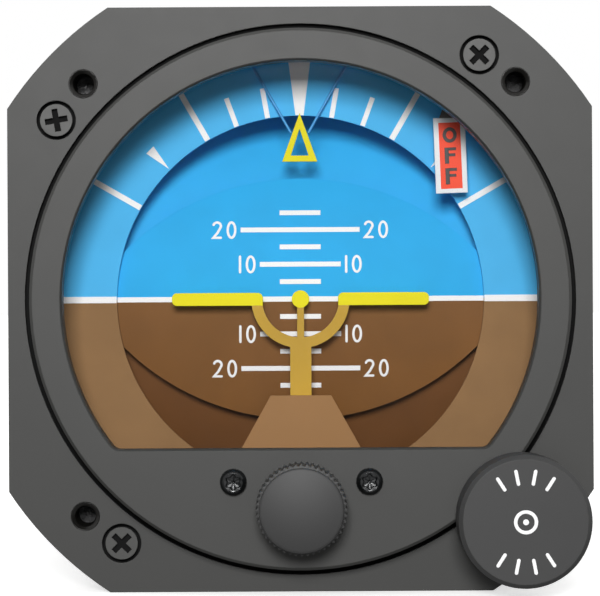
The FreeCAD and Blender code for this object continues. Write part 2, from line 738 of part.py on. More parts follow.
def flange_screws():
    """Screws with crossed recesses, their heads down in pockets."""
    screws = []
    length = CASE_FLANGE_END - FLANGE_SCREW_HEAD - THREAD_SPARE
    for (x, z), turn in zip(flange_screw_places(), CROSS_TURNS):
        screw = screw_y(x, z, FLANGE_SCREW_HEAD_R, FLANGE_SCREW_HEAD, FLANGE_SCREW_SHANK_R,
                        length, FLANGE_SCREW_HEAD)
        arm = box(x - CROSS_ARM / 2, x + CROSS_ARM / 2, -CUT, CROSS_DEPTH,
                  z - CROSS_WIDTH / 2, z + CROSS_WIDTH / 2)
        arms = [turn_y(arm, turn, x, z), turn_y(arm, turn + 90, x, z)]
        screws.append(cut_all(screw, arms))
    save("flange_screws", *screws)


# ---------------------------------------------------------------- index pointer
def pointer_outline():
    return [(0, POINTER_APEX_Z), (POINTER_HALF, POINTER_BASE_Z), (-POINTER_HALF, POINTER_BASE_Z)]


def index_pointer():
    base = POINTER_BASE_Z + POINTER_HOLE_RISE
    opening = [(0, POINTER_APEX_Z - POINTER_HOLE_DROP), (POINTER_HOLE_HALF, base),
               (-POINTER_HOLE_HALF, base)]
    plate = prism_y(pointer_outline(), POINTER_Y, POINTER_END)
    save("index_pointer", plate.cut(prism_y(opening, POINTER_Y, POINTER_END)))


def pointer_hangers():
    """Two fine wires, each with the stud on the bezel that it hangs from."""
    wire_y = POINTER_Y + POINTER_THICK / 2
    room = prism_y(pointer_outline(), POINTER_Y - CUT, RING_Y)
    x, z = polar(CAVITY_R + HANGER_R, HANGER_ANGLE)
    start = Vector(x, wire_y, z)
    run = Vector(WIRE_END_X, wire_y, POINTER_APEX_Z - WIRE_END_DROP) - start
    wire = Part.makeCylinder(WIRE_R, run.Length, start, run).cut(room)
    hanger = rod_y(HANGER_R, FLANGE_THICK, POINTER_END, x, z).fuse(wire)
    save("pointer_hangers", hanger, mirror_x(hanger))


# ---------------------------------------------------------------- miniature aircraft
def aircraft_wings():
    """Both wings and the centre dot."""
    wing = box(WING_INNER, WING_OUTER, SYMBOL_Y, SYMBOL_END, -WING_HALF, WING_HALF)
    rounded = [
        e for e in wing.Edges
        if e.BoundBox.YLength > SYMBOL_THICK - 1e-3
        and (e.BoundBox.XMin > WING_OUTER - 1e-3 or e.BoundBox.ZMin > WING_HALF - 1e-3)
    ]
    wing = wing.makeFillet(WING_HALF * WING_ROUNDING, rounded)
    save("aircraft_wings", wing, mirror_x(wing), rod_y(BALL_R, SYMBOL_Y, SYMBOL_END))


def aircraft_post():
    """Cradle under the wings, the stem to the dot, the post and the rack that lifts them."""
    y0, y1 = SYMBOL_Y, SYMBOL_END
    foot = CRADLE_BAND / 2 - CRADLE_R
    cradle = tube_y(CRADLE_R, CRADLE_R - CRADLE_BAND, y0, y1)
    cradle = cradle.common(box(-CRADLE_R, CRADLE_R, y0, y1, -CRADLE_R, -WING_HALF))
    stem = box(-STEM_HALF, STEM_HALF, y0, y1, foot, 0).cut(rod_y(BALL_R, y0, y1))
    post = box(-POST_HALF, POST_HALF, y0, y1, RACK_TOP_Z, foot)
    link = box(-POST_HALF, RACK_OUT_X, y0, y1, RACK_TOP_Z - RACK_LINK, RACK_TOP_Z)
    save("aircraft_post", fused([cradle, stem, post, link, rack_bar()]))


def rack_bar():
    """Straight rack beside the pinion: at rest a gap faces the pinion's first tooth."""
    pitch = math.pi * PINION_MODULE
    tip = PINION_R - RACK_ADDENDUM * PINION_MODULE
    root = PINION_R + DEDENDUM * PINION_MODULE
    slope = math.tan(math.radians(PRESSURE_ANGLE))
    half = pitch / 4 - BACKLASH / 4
    half_root = half + (root - PINION_R) * slope
    half_tip = half - (PINION_R - tip) * slope
    top = RACK_TOP_Z - RACK_LINK
    outline = [(RACK_OUT_X, top), (root, top)]
    first = math.floor((top - KNOB_Z) / pitch - 1) + 0.5
    for tooth in range(int((top - RACK_BOTTOM_Z) / pitch) + 1):
        z = KNOB_Z + (first - tooth) * pitch
        if z - half_root < RACK_BOTTOM_Z:
            break
        outline += [(root, z + half_root), (tip, z + half_tip), (tip, z - half_tip), (root, z - half_root)]
    outline += [(root, RACK_BOTTOM_Z), (RACK_OUT_X, RACK_BOTTOM_Z)]
    return prism_y(outline, SYMBOL_Y, SYMBOL_END)


def adjust_knob():
    """Knob with a straight knurl and a smooth crowned face."""
    outline = []
    for knurl in range(KNURLS):
        outline.append(polar(ADJUST_KNOB_R, 360 * knurl / KNURLS))
        outline.append(polar(ADJUST_KNOB_R - KNURL_DEPTH, 360 * (knurl + 0.5) / KNURLS))
    crown = ADJUST_KNOB_R - ADJUST_KNOB_FACE_R
    outline = [(x, z + KNOB_Z) for x, z in outline]
    grip = prism_y(outline, KNOB_FACE_Y + crown, KNOB_BACK_Y)
    face = turned_y([(0, KNOB_FACE_Y), (ADJUST_KNOB_FACE_R - crown, KNOB_FACE_Y),
                     (ADJUST_KNOB_FACE_R, KNOB_FACE_Y + crown), (0, KNOB_FACE_Y + crown)], 0, KNOB_Z)
    bore = rod_y(ADJUST_SHAFT_R, KNOB_FACE_Y + ADJUST_KNOB_CAP, KNOB_BACK_Y + CUT, 0, KNOB_Z)
    save("adjust_knob", grip.fuse(face).cut(bore))


def adjust_shaft():
    """Shaft of the small knob with its pinion and the washer that keeps the rack in plane."""
    washer_y = SYMBOL_END + PINION_PLAY
    end = washer_y + PINION_WASHER
    shaft = rod_y(ADJUST_SHAFT_R, KNOB_FACE_Y + ADJUST_KNOB_CAP, end, 0, KNOB_Z)
    outline = [(a, b + KNOB_Z) for a, b in gear_outline(PINION_TEETH, PINION_MODULE, 0)]
    pinion = prism_y(outline, SYMBOL_Y, washer_y)
    washer = rod_y(PINION_R + PINION_WASHER_LAND, washer_y, end, 0, KNOB_Z)
    save("adjust_shaft", fused([shaft, pinion, washer]))


def knob_bushing():
    start = PILOT_FACE_Y - BUSHING_LIP
    bush = rod_y(BUSHING_R - FIT, PILOT_FACE_Y, SILL_Y, 0, KNOB_Z)
    bush = bush.fuse(rod_y(BUSHING_LIP_R, start, PILOT_FACE_Y, 0, KNOB_Z))
    save("knob_bushing", bush.cut(bore_y(ADJUST_SHAFT_R + RUNNING, start, SILL_Y, 0, KNOB_Z)))


def adjuster_bracket():
    """Plate on two pillars behind the bezel's sill: it carries the mask and the shaft's inner end."""
    start = MASK_Y - BRACKET_THICK
    plate = box(-BRACKET_HALF, BRACKET_HALF, start, MASK_Y, BRACKET_BOTTOM_Z, BRACKET_TOP_Z)
    pillars = [rod_y(PILLAR_R, SILL_Y, start, x, z) for x, z in adjust_screw_places()]
    holes = [bore_y(ADJUST_SHAFT_R + RUNNING, SILL_Y, MASK_Y, 0, KNOB_Z)]
    for x, z in adjust_screw_places():
        holes.append(rod_y(ADJUST_SCREW_R + FIT, SILL_Y - CUT, start, x, z))
    save("adjuster_bracket", cut_all(fused([plate] + pillars), holes))


def aircraft_mask():
    """Painted cover plate in front of the post, with two bent tabs that guide the rack."""
    end = MASK_Y + MASK_THICK
    foot = BRACKET_HALF
    outline = [(-MASK_TOP_HALF, MASK_TOP_Z), (MASK_TOP_HALF, MASK_TOP_Z),
               (MASK_FOOT_HALF, MASK_FOOT_Z), (foot, BRACKET_TOP_Z), (foot, BRACKET_BOTTOM_Z),
               (-foot, BRACKET_BOTTOM_Z), (-foot, BRACKET_TOP_Z), (-MASK_FOOT_HALF, MASK_FOOT_Z)]
    plate = prism_y(outline, MASK_Y, end)
    plate = plate.cut(bore_y(ADJUST_SHAFT_R + MASK_HOLE_LAND, MASK_Y, end, 0, KNOB_Z))
    tab_end = SYMBOL_END + TAB_END
    right_x = RACK_OUT_X + TAB_PLAY
    left_x = -POST_HALF - TAB_PLAY
    right = box(right_x, right_x + TAB_THICK, end, tab_end,
                KNOB_Z - RIGHT_TAB_FOOT, BRACKET_TOP_Z + RIGHT_TAB_HEAD)
    left = box(left_x - TAB_THICK, left_x, end, tab_end,
               RACK_TOP_Z - LEFT_TAB_FOOT, RACK_TOP_Z + LEFT_TAB_HEAD)
    save("aircraft_mask", fused([plate, right, left]))


def adjuster_screws():
    length = SILL_Y - PILOT_FACE_Y + ADJUST_SCREW_BITE
    screws = [
        screw_y(x, z, ADJUST_SCREW_HEAD_R, ADJUST_SCREW_HEAD, ADJUST_SCREW_R, length, PILOT_FACE_Y)
        for x, z in adjust_screw_places()
    ]
    save("adjuster_screws", *screws)


# ---------------------------------------------------------------- warning flag
def off_flag():
    """Flag plate with its arm and hub."""
    right = FLAG_LEFT_X + FLAG_WIDTH
    plate = prism_y([(FLAG_LEFT_X, FLAG_TOP_Z), (right, FLAG_TOP_Z),
                     (right, FLAG_BOTTOM_Z), (FLAG_LEFT_X, FLAG_BOTTOM_Z)], FLAG_Y, FLAG_END)
    centre_x, centre_z = (FLAG_LEFT_X + right) / 2, (FLAG_TOP_Z + FLAG_BOTTOM_Z) / 2
    plate = turn_y(plate, -FLAG_LEAN, centre_x, centre_z)
    foot_left, foot_right = (FLAG_LEFT_X + run for run in ARM_FOOT)
    foot_z = FLAG_TOP_Z - ARM_LAP
    arm = prism_y([(FLAG_PIVOT_X - ARM_TOP_HALF, FLAG_PIVOT_Z), (FLAG_PIVOT_X + ARM_TOP_HALF, FLAG_PIVOT_Z),
                   (foot_right, foot_z), (foot_left, foot_z)], FLAG_Y, FLAG_END)
    end = FLAG_END + FLAG_HUB
    hub = rod_y(FLAG_HUB_R, FLAG_Y, end, FLAG_PIVOT_X, FLAG_PIVOT_Z)
    bore = bore_y(FLAG_SHAFT_R, FLAG_Y, end, FLAG_PIVOT_X, FLAG_PIVOT_Z)
    save("off_flag", fused([plate, arm, hub]).cut(bore))


def flag_shaft():
    """Staff of the flag with the small magnet that the coil turns."""
    start = MOTOR_Y + MOTOR_MOUTH
    staff = rod_y(FLAG_SHAFT_R, start, FLAG_END + FLAG_HUB, FLAG_PIVOT_X, FLAG_PIVOT_Z)
    magnet = rod_y(MAGNET_R, start, start + MAGNET_LENGTH, FLAG_PIVOT_X, FLAG_PIVOT_Z)
    save("flag_shaft", staff.fuse(magnet))


def flag_motor():
    """Coil case of the flag, open at the rear where the staff leaves."""
    outer = rod_y(MOTOR_R, MOTOR_Y, FLANGE_THICK + MOTOR_LIP, FLAG_PIVOT_X, FLAG_PIVOT_Z)
    room = rod_y(MOTOR_ROOM_R, MOTOR_Y + MOTOR_WALL, FLANGE_THICK - MOTOR_LIP, FLAG_PIVOT_X, FLAG_PIVOT_Z)
    mouth = rod_y(FLAG_SHAFT_R + RUNNING, MOTOR_Y + MOTOR_MOUTH, FLANGE_THICK + CUT,
                  FLAG_PIVOT_X, FLAG_PIVOT_Z)
    save("flag_motor", cut_all(outer, [room, mouth]))


# ---------------------------------------------------------------- case
def flag_hub_room(y0, y1):
    return rod_y(FLAG_HUB_R + FLAG_HUB_ROOM, y0, y1, FLAG_PIVOT_X, FLAG_PIVOT_Z)


def flag_pocket(y0, y1):
    """Room at the right of the dial for the flag when it swings out of view."""
    band = tube_y(CASE_R + POCKET_LAND, CASE_BORE_R - POCKET_LAP, y0, y1)
    wedge = prism_y([(0, 0)] + [polar(BEYOND, angle) for angle in POCKET_ANGLES], y0, y1)
    return band.common(wedge).fuse(flag_hub_room(y0, y1))


def case_gasket():
    y0, y1 = FLANGE_THICK, CASE_Y
    holes = [bore_y(CASE_BORE_R, y0, y1), flag_hub_room(y0 - CUT, y1 + CUT),
             bore_y(TUNNEL_BORE_R, y0, y1, CAGE_X, CAGE_Z)]
    holes += [bore_y(MOUNT_MOUTH_R, y0, y1, x, z) for x, z in mount_places()]
    holes += [bore_y(FLANGE_SCREW_SHANK_R + FIT, y0, y1, x, z) for x, z in flange_screw_places()]
    save("case_gasket", cut_all(flange_outline(y0, y1), holes))


def rear_outline(y0, y1):
    """Outline shared by the case's rear flange, the bulkhead and the cover."""
    half = FLANGE_SIDE / 2
    plate = rod_y(REAR_FLANGE_R, y0, y1).common(box(-half, half, y0, y1, -half, half))
    return plate.fuse(rod_y(TUNNEL_R, y0, y1, CAGE_X, CAGE_Z))


def main_case():
    """Barrel with a flange at each end and a tunnel for the caging rod."""
    front = flange_outline(CASE_Y, CASE_FLANGE_END)
    barrel = rod_y(CASE_R, CASE_Y, BULKHEAD_Y)
    tunnel = rod_y(TUNNEL_R, CASE_Y, BULKHEAD_Y, CAGE_X, CAGE_Z)
    rear_start = BULKHEAD_Y - REAR_FLANGE
    rear = rear_outline(rear_start, BULKHEAD_Y)
    slot_start = ROLLER_Y - CAGE_TRAVEL - FORK_HALF - SWEEP
    slot_half = FORK_HALF + FORK_ROOM
    slot = box(0, CAGE_REACH, slot_start, BULKHEAD_Y + CUT, -slot_half, slot_half)
    holes = [
        bore_y(CASE_BORE_R, CASE_Y, BULKHEAD_Y),
        bore_y(TUNNEL_BORE_R, CASE_Y, BULKHEAD_Y, CAGE_X, CAGE_Z),
        turn_y(slot, 45),
        flag_pocket(CASE_Y - CUT, FLAG_END + POCKET_DEPTH),
    ]
    for x, z in mount_places():
        holes.append(rod_y(MOUNT_MOUTH_R, CASE_Y - CUT, CASE_Y + MOUNT_RELIEF, x, z))
    for x, z in flange_screw_places():
        holes.append(bore_y(FLANGE_SCREW_SHANK_R + FIT, CASE_Y, CASE_FLANGE_END, x, z))
    for x, z in rear_screw_places():
        holes.append(bore_y(REAR_SCREW_SHANK_R + FIT, rear_start, BULKHEAD_Y, x, z))
    save("main_case", cut_all(fused([front, barrel, tunnel, rear]), holes))


def hub_rib():
    """Triangular rib with a root that reaches into the hub."""
    end = HUB_END_Y - RIB_SHORT
    outline = [(COVER_Y, HUB_R - CUT), (COVER_Y, HUB_R + RIB_FOOT), (end, HUB_R), (end, HUB_R - CUT)]
    return prism_x(outline, -RIB_THICK / 2, RIB_THICK / 2)


def rear_frame():
    """Bulkhead with the long hub that carries the roll spindle."""
    plate = rear_outline(BULKHEAD_Y, COVER_Y)
    hub = rod_y(HUB_R, BULKHEAD_Y, HUB_END_Y)
    ribs = [turn_y(hub_rib(), 45 + angle) for angle in BULKHEAD_HOLES]
    holes = [
        bore_y(HUB_BORE_R, BULKHEAD_Y, HUB_END_Y),
        bore_y(CAGE_ROD_R + RUNNING, BULKHEAD_Y, COVER_Y, CAGE_X, CAGE_Z),
    ]
    circle_r = HUB_R + BULKHEAD_HOLE_LAND + BULKHEAD_HOLE_R
    for angle in BULKHEAD_HOLES:
        holes.append(bore_y(BULKHEAD_HOLE_R, BULKHEAD_Y, COVER_Y, *polar(circle_r, angle)))
    for x, z in rear_screw_places():
        holes.append(bore_y(REAR_SCREW_SHANK_R + FIT, BULKHEAD_Y, COVER_Y, x, z))
    save("rear_frame", cut_all(fused([plate, hub] + ribs), holes))


def rear_cover():
    """Cup over the slip rings and the power board, with the connector's opening."""
    flange_end = COVER_Y + REAR_FLANGE
    wall_y = REAR_END_Y - REAR_WALL
    barrel = rod_y(CASE_R, COVER_Y, REAR_END_Y)
    rim = [e for e in barrel.Edges if e.BoundBox.YMin > REAR_END_Y - 1e-6]
    barrel = barrel.makeChamfer(REAR_CHAMFER, rim)
    holes = [
        rod_y(CASE_BORE_R, COVER_Y - CUT, wall_y),
        rod_y(CAGE_ROD_R + CAGE_ROD_ROOM, COVER_Y - CUT, flange_end - CAGE_ROOM_WALL, CAGE_X, CAGE_Z),
        bore_y(CONNECTOR_R + FIT, wall_y, REAR_END_Y, 0, CONNECTOR_Z),
    ]
    for x, z in rear_screw_places():
        holes.append(bore_y(REAR_SCREW_SHANK_R + FIT, COVER_Y, flange_end, x, z))
    for x, z in connector_screw_places():
        holes.append(bore_y(REAR_SCREW_SHANK_R + FIT, wall_y, REAR_END_Y, x, z))
    save("rear_cover", cut_all(fused([rear_outline(COVER_Y, flange_end), barrel]), holes))


def rear_screws():
    """Four screws of the rear cover and four of the connector, of one size of head."""
    cover_seat = COVER_Y + REAR_FLANGE
    cover_length = REAR_FLANGE + BULKHEAD_THICK + REAR_FLANGE - THREAD_SPARE
    plate_seat = REAR_END_Y + CONNECTOR_PLATE_THICK
    plate_length = CONNECTOR_PLATE_THICK + REAR_WALL
    rows = [(place, cover_seat, cover_length) for place in rear_screw_places()]
    rows += [(place, plate_seat, plate_length) for place in connector_screw_places()]
    screws = [
        screw_y(x, z, REAR_SCREW_HEAD_R, REAR_SCREW_HEAD, REAR_SCREW_SHANK_R, length, seat, -1)
        for (x, z), seat, length in rows
    ]
    save("rear_screws", *screws)


# ---------------------------------------------------------------- electrics
def connector_shell():
    """Square plate with the threaded barrel of the plug."""
    half = CONNECTOR_PLATE / 2
    plate_end = REAR_END_Y + CONNECTOR_PLATE_THICK
    wall_y = REAR_END_Y - REAR_WALL
    thread_end = REAR_END_Y + CONNECTOR_LENGTH
    plate = box(-half, half, REAR_END_Y, plate_end, CONNECTOR_Z - half, CONNECTOR_Z + half)
    corners = [e for e in plate.Edges if e.BoundBox.YLength > CONNECTOR_PLATE_THICK - 1e-3]
    plate = plate.makeFillet(CONNECTOR_PLATE_ROUNDING, corners)
    barrel = rod_y(CONNECTOR_R, wall_y, thread_end, 0, CONNECTOR_Z)
    collar_end = thread_end - CONNECTOR_THREAD
    collar = rod_y(CONNECTOR_R + CONNECTOR_COLLAR, REAR_END_Y, collar_end, 0, CONNECTOR_Z)
    holes = [bore_y(CONNECTOR_R - CONNECTOR_WALL, wall_y, thread_end, 0, CONNECTOR_Z)]
    for x, z in connector_screw_places():
        holes.append(bore_y(REAR_SCREW_SHANK_R + FIT, REAR_END_Y, plate_end, x, z))
    save("connector_shell", cut_all(fused([plate, barrel, collar]), holes))


def connector_insert():
    inside, outside = CONNECTOR_INSERT
    start, end = REAR_END_Y - inside, REAR_END_Y + outside
    insert = rod_y(CONNECTOR_R - CONNECTOR_WALL - FIT, start, end, 0, CONNECTOR_Z)
    holes = [bore_y(PIN_R + FIT, start, end, x, z) for x, z in pin_places()]
    save("connector_insert", cut_all(insert, holes))


def connector_pins():
    inside, outside = PIN_REACH
    save("connector_pins", *[rod_y(PIN_R, REAR_END_Y - inside, REAR_END_Y + outside, x, z)
                             for x, z in pin_places()])


def board_block(x0, x1, z0, z1, height):
    """A component that stands on the board's front face."""
    return box(x0, x1, BOARD_Y - height, BOARD_Y, z0, z1)


def power_board():
    """Round board on four standoffs, with its transformer, filter block and two capacitors."""
    board = rod_y(BOARD_R, BOARD_Y, BOARD_Y + BOARD_THICK)
    standoffs = [
        rod_y(STANDOFF_R, COVER_Y, BOARD_Y, *polar(BOARD_R - STANDOFF_INSET, angle))
        for angle in STANDOFF_ANGLES
    ]
    cans = [
        rod_y(CAPACITOR_R, BOARD_Y - CAPACITOR_HEIGHT, BOARD_Y, x, z)
        for x, z in CAPACITOR_PLACES
    ]
    blocks = [board_block(*TRANSFORMER), board_block(*FILTER_BLOCK)]
    save("power_board", fused([board] + standoffs), *blocks, *cans)


def slip_ring_starts():
    first = SPINDLE_END_Y - SLIP_END - RING_COUNT * SLIP_PITCH
    return [first + SLIP_PITCH * ring for ring in range(RING_COUNT)]


def slip_rings():
    """Contact rings on their insulating sleeve."""
    rings = [
        tube_y(SLIP_RING_R, SLIP_SLEEVE_R, start, start + SLIP_RING_WIDTH)
        for start in slip_ring_starts()
    ]
    sleeve = tube_y(SLIP_SLEEVE_R, SPINDLE_R, slip_ring_starts()[0] - SLIP_SLEEVE_LAP, SPINDLE_END_Y)
    save("slip_rings", sleeve, *rings)


def brush_block():
    """Insulating block that stands on the hub's rear face."""
    end = BRUSH_REACH + BRUSH_BLOCK_THICK
    half = BRUSH_BLOCK_HALF
    block = box(BRUSH_REACH, end, HUB_END_Y, SPINDLE_END_Y, -half, half)
    foot = box(BRUSH_REACH - BRUSH_FOOT_LAP, end, HUB_END_Y, HUB_END_Y + BRUSH_FOOT, -half, half)
    save("brush_block", fused([block, foot]))


def brushes():
    """One spring finger for each slip ring."""
    inset = (SLIP_RING_WIDTH - BRUSH_WIDTH) / 2
    fingers = [
        box(SLIP_RING_R + RUNNING, BRUSH_REACH, start + inset, start + inset + BRUSH_WIDTH,
            -BRUSH_HALF, BRUSH_HALF)
        for start in slip_ring_starts()
    ]
    save("brushes", *fingers)


# ---------------------------------------------------------------- roll gimbal
def bearing_starts():
    return [BULKHEAD_Y + BEARING_INSET, HUB_END_Y - BEARING_INSET - BEARING_LENGTH]


def roll_bearing_outers():
    """Outer rings with their shields."""
    rings = []
    shield_r = BEARING_INNER_R + RUNNING
    race_r = HUB_BORE_R - BEARING_OUTER_WALL
    for start in bearing_starts():
        end = start + BEARING_LENGTH
        rings.append(turned_y([
            (HUB_BORE_R - FIT, start), (HUB_BORE_R - FIT, end), (shield_r, end),
            (shield_r, end - BEARING_SHIELD), (race_r, end - BEARING_SHIELD),
            (race_r, start + BEARING_SHIELD), (shield_r, start + BEARING_SHIELD), (shield_r, start)]))
    save("roll_bearing_outers", *rings)


def roll_bearing_inners():
    rings = [
        tube_y(BEARING_INNER_R, SPINDLE_R, start, start + BEARING_LENGTH)
        for start in bearing_starts()
    ]
    save("roll_bearing_inners", *rings)


def roll_spindle():
    flange = rod_y(CAM_R - CAM_FLANGE_STEP, YOKE_BAR_END, CAM_Y)
    shaft = rod_y(SPINDLE_R - FIT, CAM_Y, SPINDLE_END_Y)
    save("roll_spindle", flange.fuse(shaft))


def roll_cam():
    """Face cam that the caging roller meets: its low point is at the roller when the dial is level."""
    low_y = CAM_Y + CAM_LOW
    half = CAM_NOTCH_HALF
    body = tube_y(CAM_R, SPINDLE_R, CAM_Y, CAM_CREST_Y)
    notch = prism_x([(low_y, 0), (CAM_CREST_Y + CUT, half), (CAM_CREST_Y + CUT, -half)],
                    SPINDLE_R, CAM_R + CUT)
    save("roll_cam", body.cut(turn_y(notch, 45)))


def bank_ring():
    save("bank_ring", tube_y(DRUM_R, RING_BORE_R, RING_Y, DRUM_Y))


def card_arm_slot():
    """Slot in the gimbal frame that a card arm swings in."""
    swing = (CARD_PIVOT_Y - FRAME_Y) * math.sin(math.radians(PITCH_RANGE / 2))
    half = swing + ARM_NECK_HALF + CARD_SLOT_GAP
    return box(CARD_ARM_X - CARD_SLOT_GAP, CARD_ARM_X + CARD_ARM_THICK + CARD_SLOT_GAP,
               FRAME_Y - CUT, FRAME_END + CUT, -half, half)


def roll_drum():
    """Drum that carries the bank ring, with the gimbal's front ring at its rear end."""
    barrel = tube_y(DRUM_R, DRUM_BORE_R, DRUM_Y, FRAME_END)
    ring = tube_y(DRUM_R, FRAME_BORE_R, FRAME_Y, FRAME_END)
    slot = card_arm_slot()
    save("roll_drum", cut_all(fused([barrel, ring]), [slot, mirror_x(slot)]))


def backdrop():
    """Fixed sky and ground sheet behind the card."""
    shell = tube_x(BACKDROP_R, BACKDROP_R - SHELL, -BACKDROP_HALF, BACKDROP_HALF, CARD_PIVOT_Y, 0)
    save("backdrop", shell.common(rod_y(DRUM_BORE_R - BACKDROP_FIT, 0, FRAME_Y)))


def yoke_side():
    """One side arm: a tapered strap with eyes at the gyro trunnion and the card pivot."""
    waist = YOKE_WAIST_HALF
    before, behind = YOKE_WAIST
    upper = [(FRAME_END, waist), (PITCH_AXIS_Y - before, waist), (CARD_PIVOT_Y + behind, waist),
             (YOKE_BAR_Y, YOKE_HALF)]
    lower = [(y, -z) for y, z in reversed(upper)]
    strap = prism_x(upper + lower, YOKE_X, YOKE_OUT_X)
    eye = rod_x(YOKE_EYE_R, YOKE_X, YOKE_OUT_X, PITCH_AXIS_Y)
    first, last = YOKE_WINDOW
    window = box(YOKE_X - CUT, YOKE_OUT_X + CUT, FRAME_END + first, PITCH_AXIS_Y - last,
                 -YOKE_WINDOW_HALF, YOKE_WINDOW_HALF)
    return fused([strap, eye]).cut(window)


def gimbal_yoke():
    """Two side arms joined by the bar that the roll spindle bolts to."""
    side = yoke_side()
    bar = box(-YOKE_OUT_X, YOKE_OUT_X, YOKE_BAR_Y, YOKE_BAR_END, -YOKE_HALF, YOKE_HALF)
    reach = YOKE_OUT_X + CUT
    holes = [rod_x(PITCH_BEARING_R, -reach, reach, PITCH_AXIS_Y),
             rod_x(PIVOT_R, -reach, reach, CARD_PIVOT_Y)]
    for x in (-YOKE_BAR_HOLE_X, YOKE_BAR_HOLE_X):
        holes.append(bore_y(YOKE_BAR_HOLE_R, YOKE_BAR_Y, YOKE_BAR_END, x, 0))
    save("gimbal_yoke", cut_all(fused([side, mirror_x(side), bar]), holes))


def pitch_bearings():
    ring = tube_x(PITCH_BEARING_R - FIT, TRUNNION_R + RUNNING, YOKE_X, YOKE_OUT_X, PITCH_AXIS_Y, 0)
    save("pitch_bearings", ring, mirror_x(ring))


def card_pivots():
    """Shouldered pins in the yoke that the card arms turn on."""
    end = GEAR_X + GEAR_WIDTH + PIVOT_END_PLAY
    pin = rod_x(PIVOT_R - FIT, YOKE_X, end, CARD_PIVOT_Y)
    pin = pin.fuse(rod_x(PIVOT_HEAD_R, end, end + PIVOT_HEAD, CARD_PIVOT_Y))
    save("card_pivots", pin, mirror_x(pin))


# ---------------------------------------------------------------- gyro housing
def rotor_case():
    """Cup that holds the rotor, with the central post for the stator and side bosses."""
    chamfer = GYRO_FOOT_CHAMFER
    cup = turned_z([(0, GYRO_BOTTOM), (GYRO_R - chamfer, GYRO_BOTTOM), (GYRO_R, GYRO_BOTTOM + chamfer),
                    (GYRO_R, GYRO_SPLIT), (GYRO_BORE_R, GYRO_SPLIT), (GYRO_BORE_R, GYRO_FLOOR),
                    (0, GYRO_FLOOR)], 0, PITCH_AXIS_Y)
    bosses = rod_x(BOSS_R, -BOSS_REACH, BOSS_REACH, PITCH_AXIS_Y)
    inside = rod_z(GYRO_BORE_R, -BOSS_R - CUT, BOSS_R + CUT, 0, PITCH_AXIS_Y)
    post = rod_z(POST_R, GYRO_FLOOR - POST_BITE, POST_TOP, 0, PITCH_AXIS_Y)
    trunnion_bore = rod_x(TRUNNION_R, -BOSS_REACH - CUT, BOSS_REACH + CUT, PITCH_AXIS_Y)
    holes = [
        trunnion_bore.cut(inside),
        rod_z(ROTOR_SHAFT_R + RUNNING, GYRO_BOTTOM - CUT, POST_TOP + CUT, 0, PITCH_AXIS_Y),
    ]
    save("rotor_case", cut_all(fused([cup, bosses.cut(inside), post]), holes))


def rotor_cover():
    """Domed lid of the cup with the upper rotor bearing."""
    shoulder = GYRO_TOP - GYRO_CROWN_RISE
    ceiling = GYRO_TOP - GYRO_WALL
    lid = turned_z([(0, GYRO_TOP), (GYRO_R - GYRO_CROWN_RUN, GYRO_TOP), (GYRO_R, shoulder),
                    (GYRO_R, GYRO_SPLIT), (GYRO_BORE_R, GYRO_SPLIT),
                    (GYRO_BORE_R, shoulder - GYRO_CROWN_THIN),
                    (GYRO_R - GYRO_CROWN_RUN - CUT, ceiling), (0, ceiling)], 0, PITCH_AXIS_Y)
    boss = rod_z(LID_BOSS_R, GYRO_SPLIT, ceiling + POST_BITE, 0, PITCH_AXIS_Y)
    bore = rod_z(ROTOR_SHAFT_R + RUNNING, GYRO_SPLIT - CUT, ceiling, 0, PITCH_AXIS_Y)
    save("rotor_cover", fused([lid, boss]).cut(bore))


def trunnions():
    """Pins at the housing's sides: the right one reaches the gear."""
    inner = GYRO_BORE_R + TRUNNION_GRIP
    right = rod_x(TRUNNION_R - FIT / 2, inner, GEAR_X + GEAR_WIDTH, PITCH_AXIS_Y)
    left = rod_x(TRUNNION_R - FIT / 2, -YOKE_OUT_X, -inner, PITCH_AXIS_Y)
    save("trunnions", right, left)


def pitch_gear():
    outline = [(y + PITCH_AXIS_Y, z) for y, z in gear_outline(PITCH_TEETH, GEAR_MODULE, 0)]
    end = GEAR_X + GEAR_WIDTH
    bore = rod_x(TRUNNION_R, GEAR_X - CUT, end + CUT, PITCH_AXIS_Y)
    save("pitch_gear", prism_x(outline, GEAR_X, end).cut(bore))


def stator():
    """Slotted winding ring around the post."""
    top = STATOR_BOTTOM + STATOR_HEIGHT
    ring = rod_z(STATOR_R, STATOR_BOTTOM, top, 0, PITCH_AXIS_Y)
    slot_r = STATOR_R - STATOR_SLOT_SHARE * (STATOR_R - STATOR_BORE_R)
    cutters = [rod_z(STATOR_BORE_R, STATOR_BOTTOM - CUT, top + CUT, 0, PITCH_AXIS_Y)]
    for slot in range(STATOR_SLOTS):
        cutter = box(slot_r, STATOR_R + CUT, PITCH_AXIS_Y - STATOR_SLOT_HALF,
                     PITCH_AXIS_Y + STATOR_SLOT_HALF, STATOR_BOTTOM - CUT, top + CUT)
        cutter.rotate(Vector(0, PITCH_AXIS_Y, 0), Vector(0, 0, 1), 360 * slot / STATOR_SLOTS)
        cutters.append(cutter)
    save("stator", cut_all(ring, cutters))


def erector():
    """Erecting magnet in its cup under the housing."""
    foot = GYRO_BOTTOM - ERECTOR_HEIGHT
    chamfer = ERECTOR_CHAMFER
    save("erector", turned_z([(0, foot), (ERECTOR_R - chamfer, foot), (ERECTOR_R, foot + chamfer),
                              (ERECTOR_R, GYRO_BOTTOM), (0, GYRO_BOTTOM)], 0, PITCH_AXIS_Y))


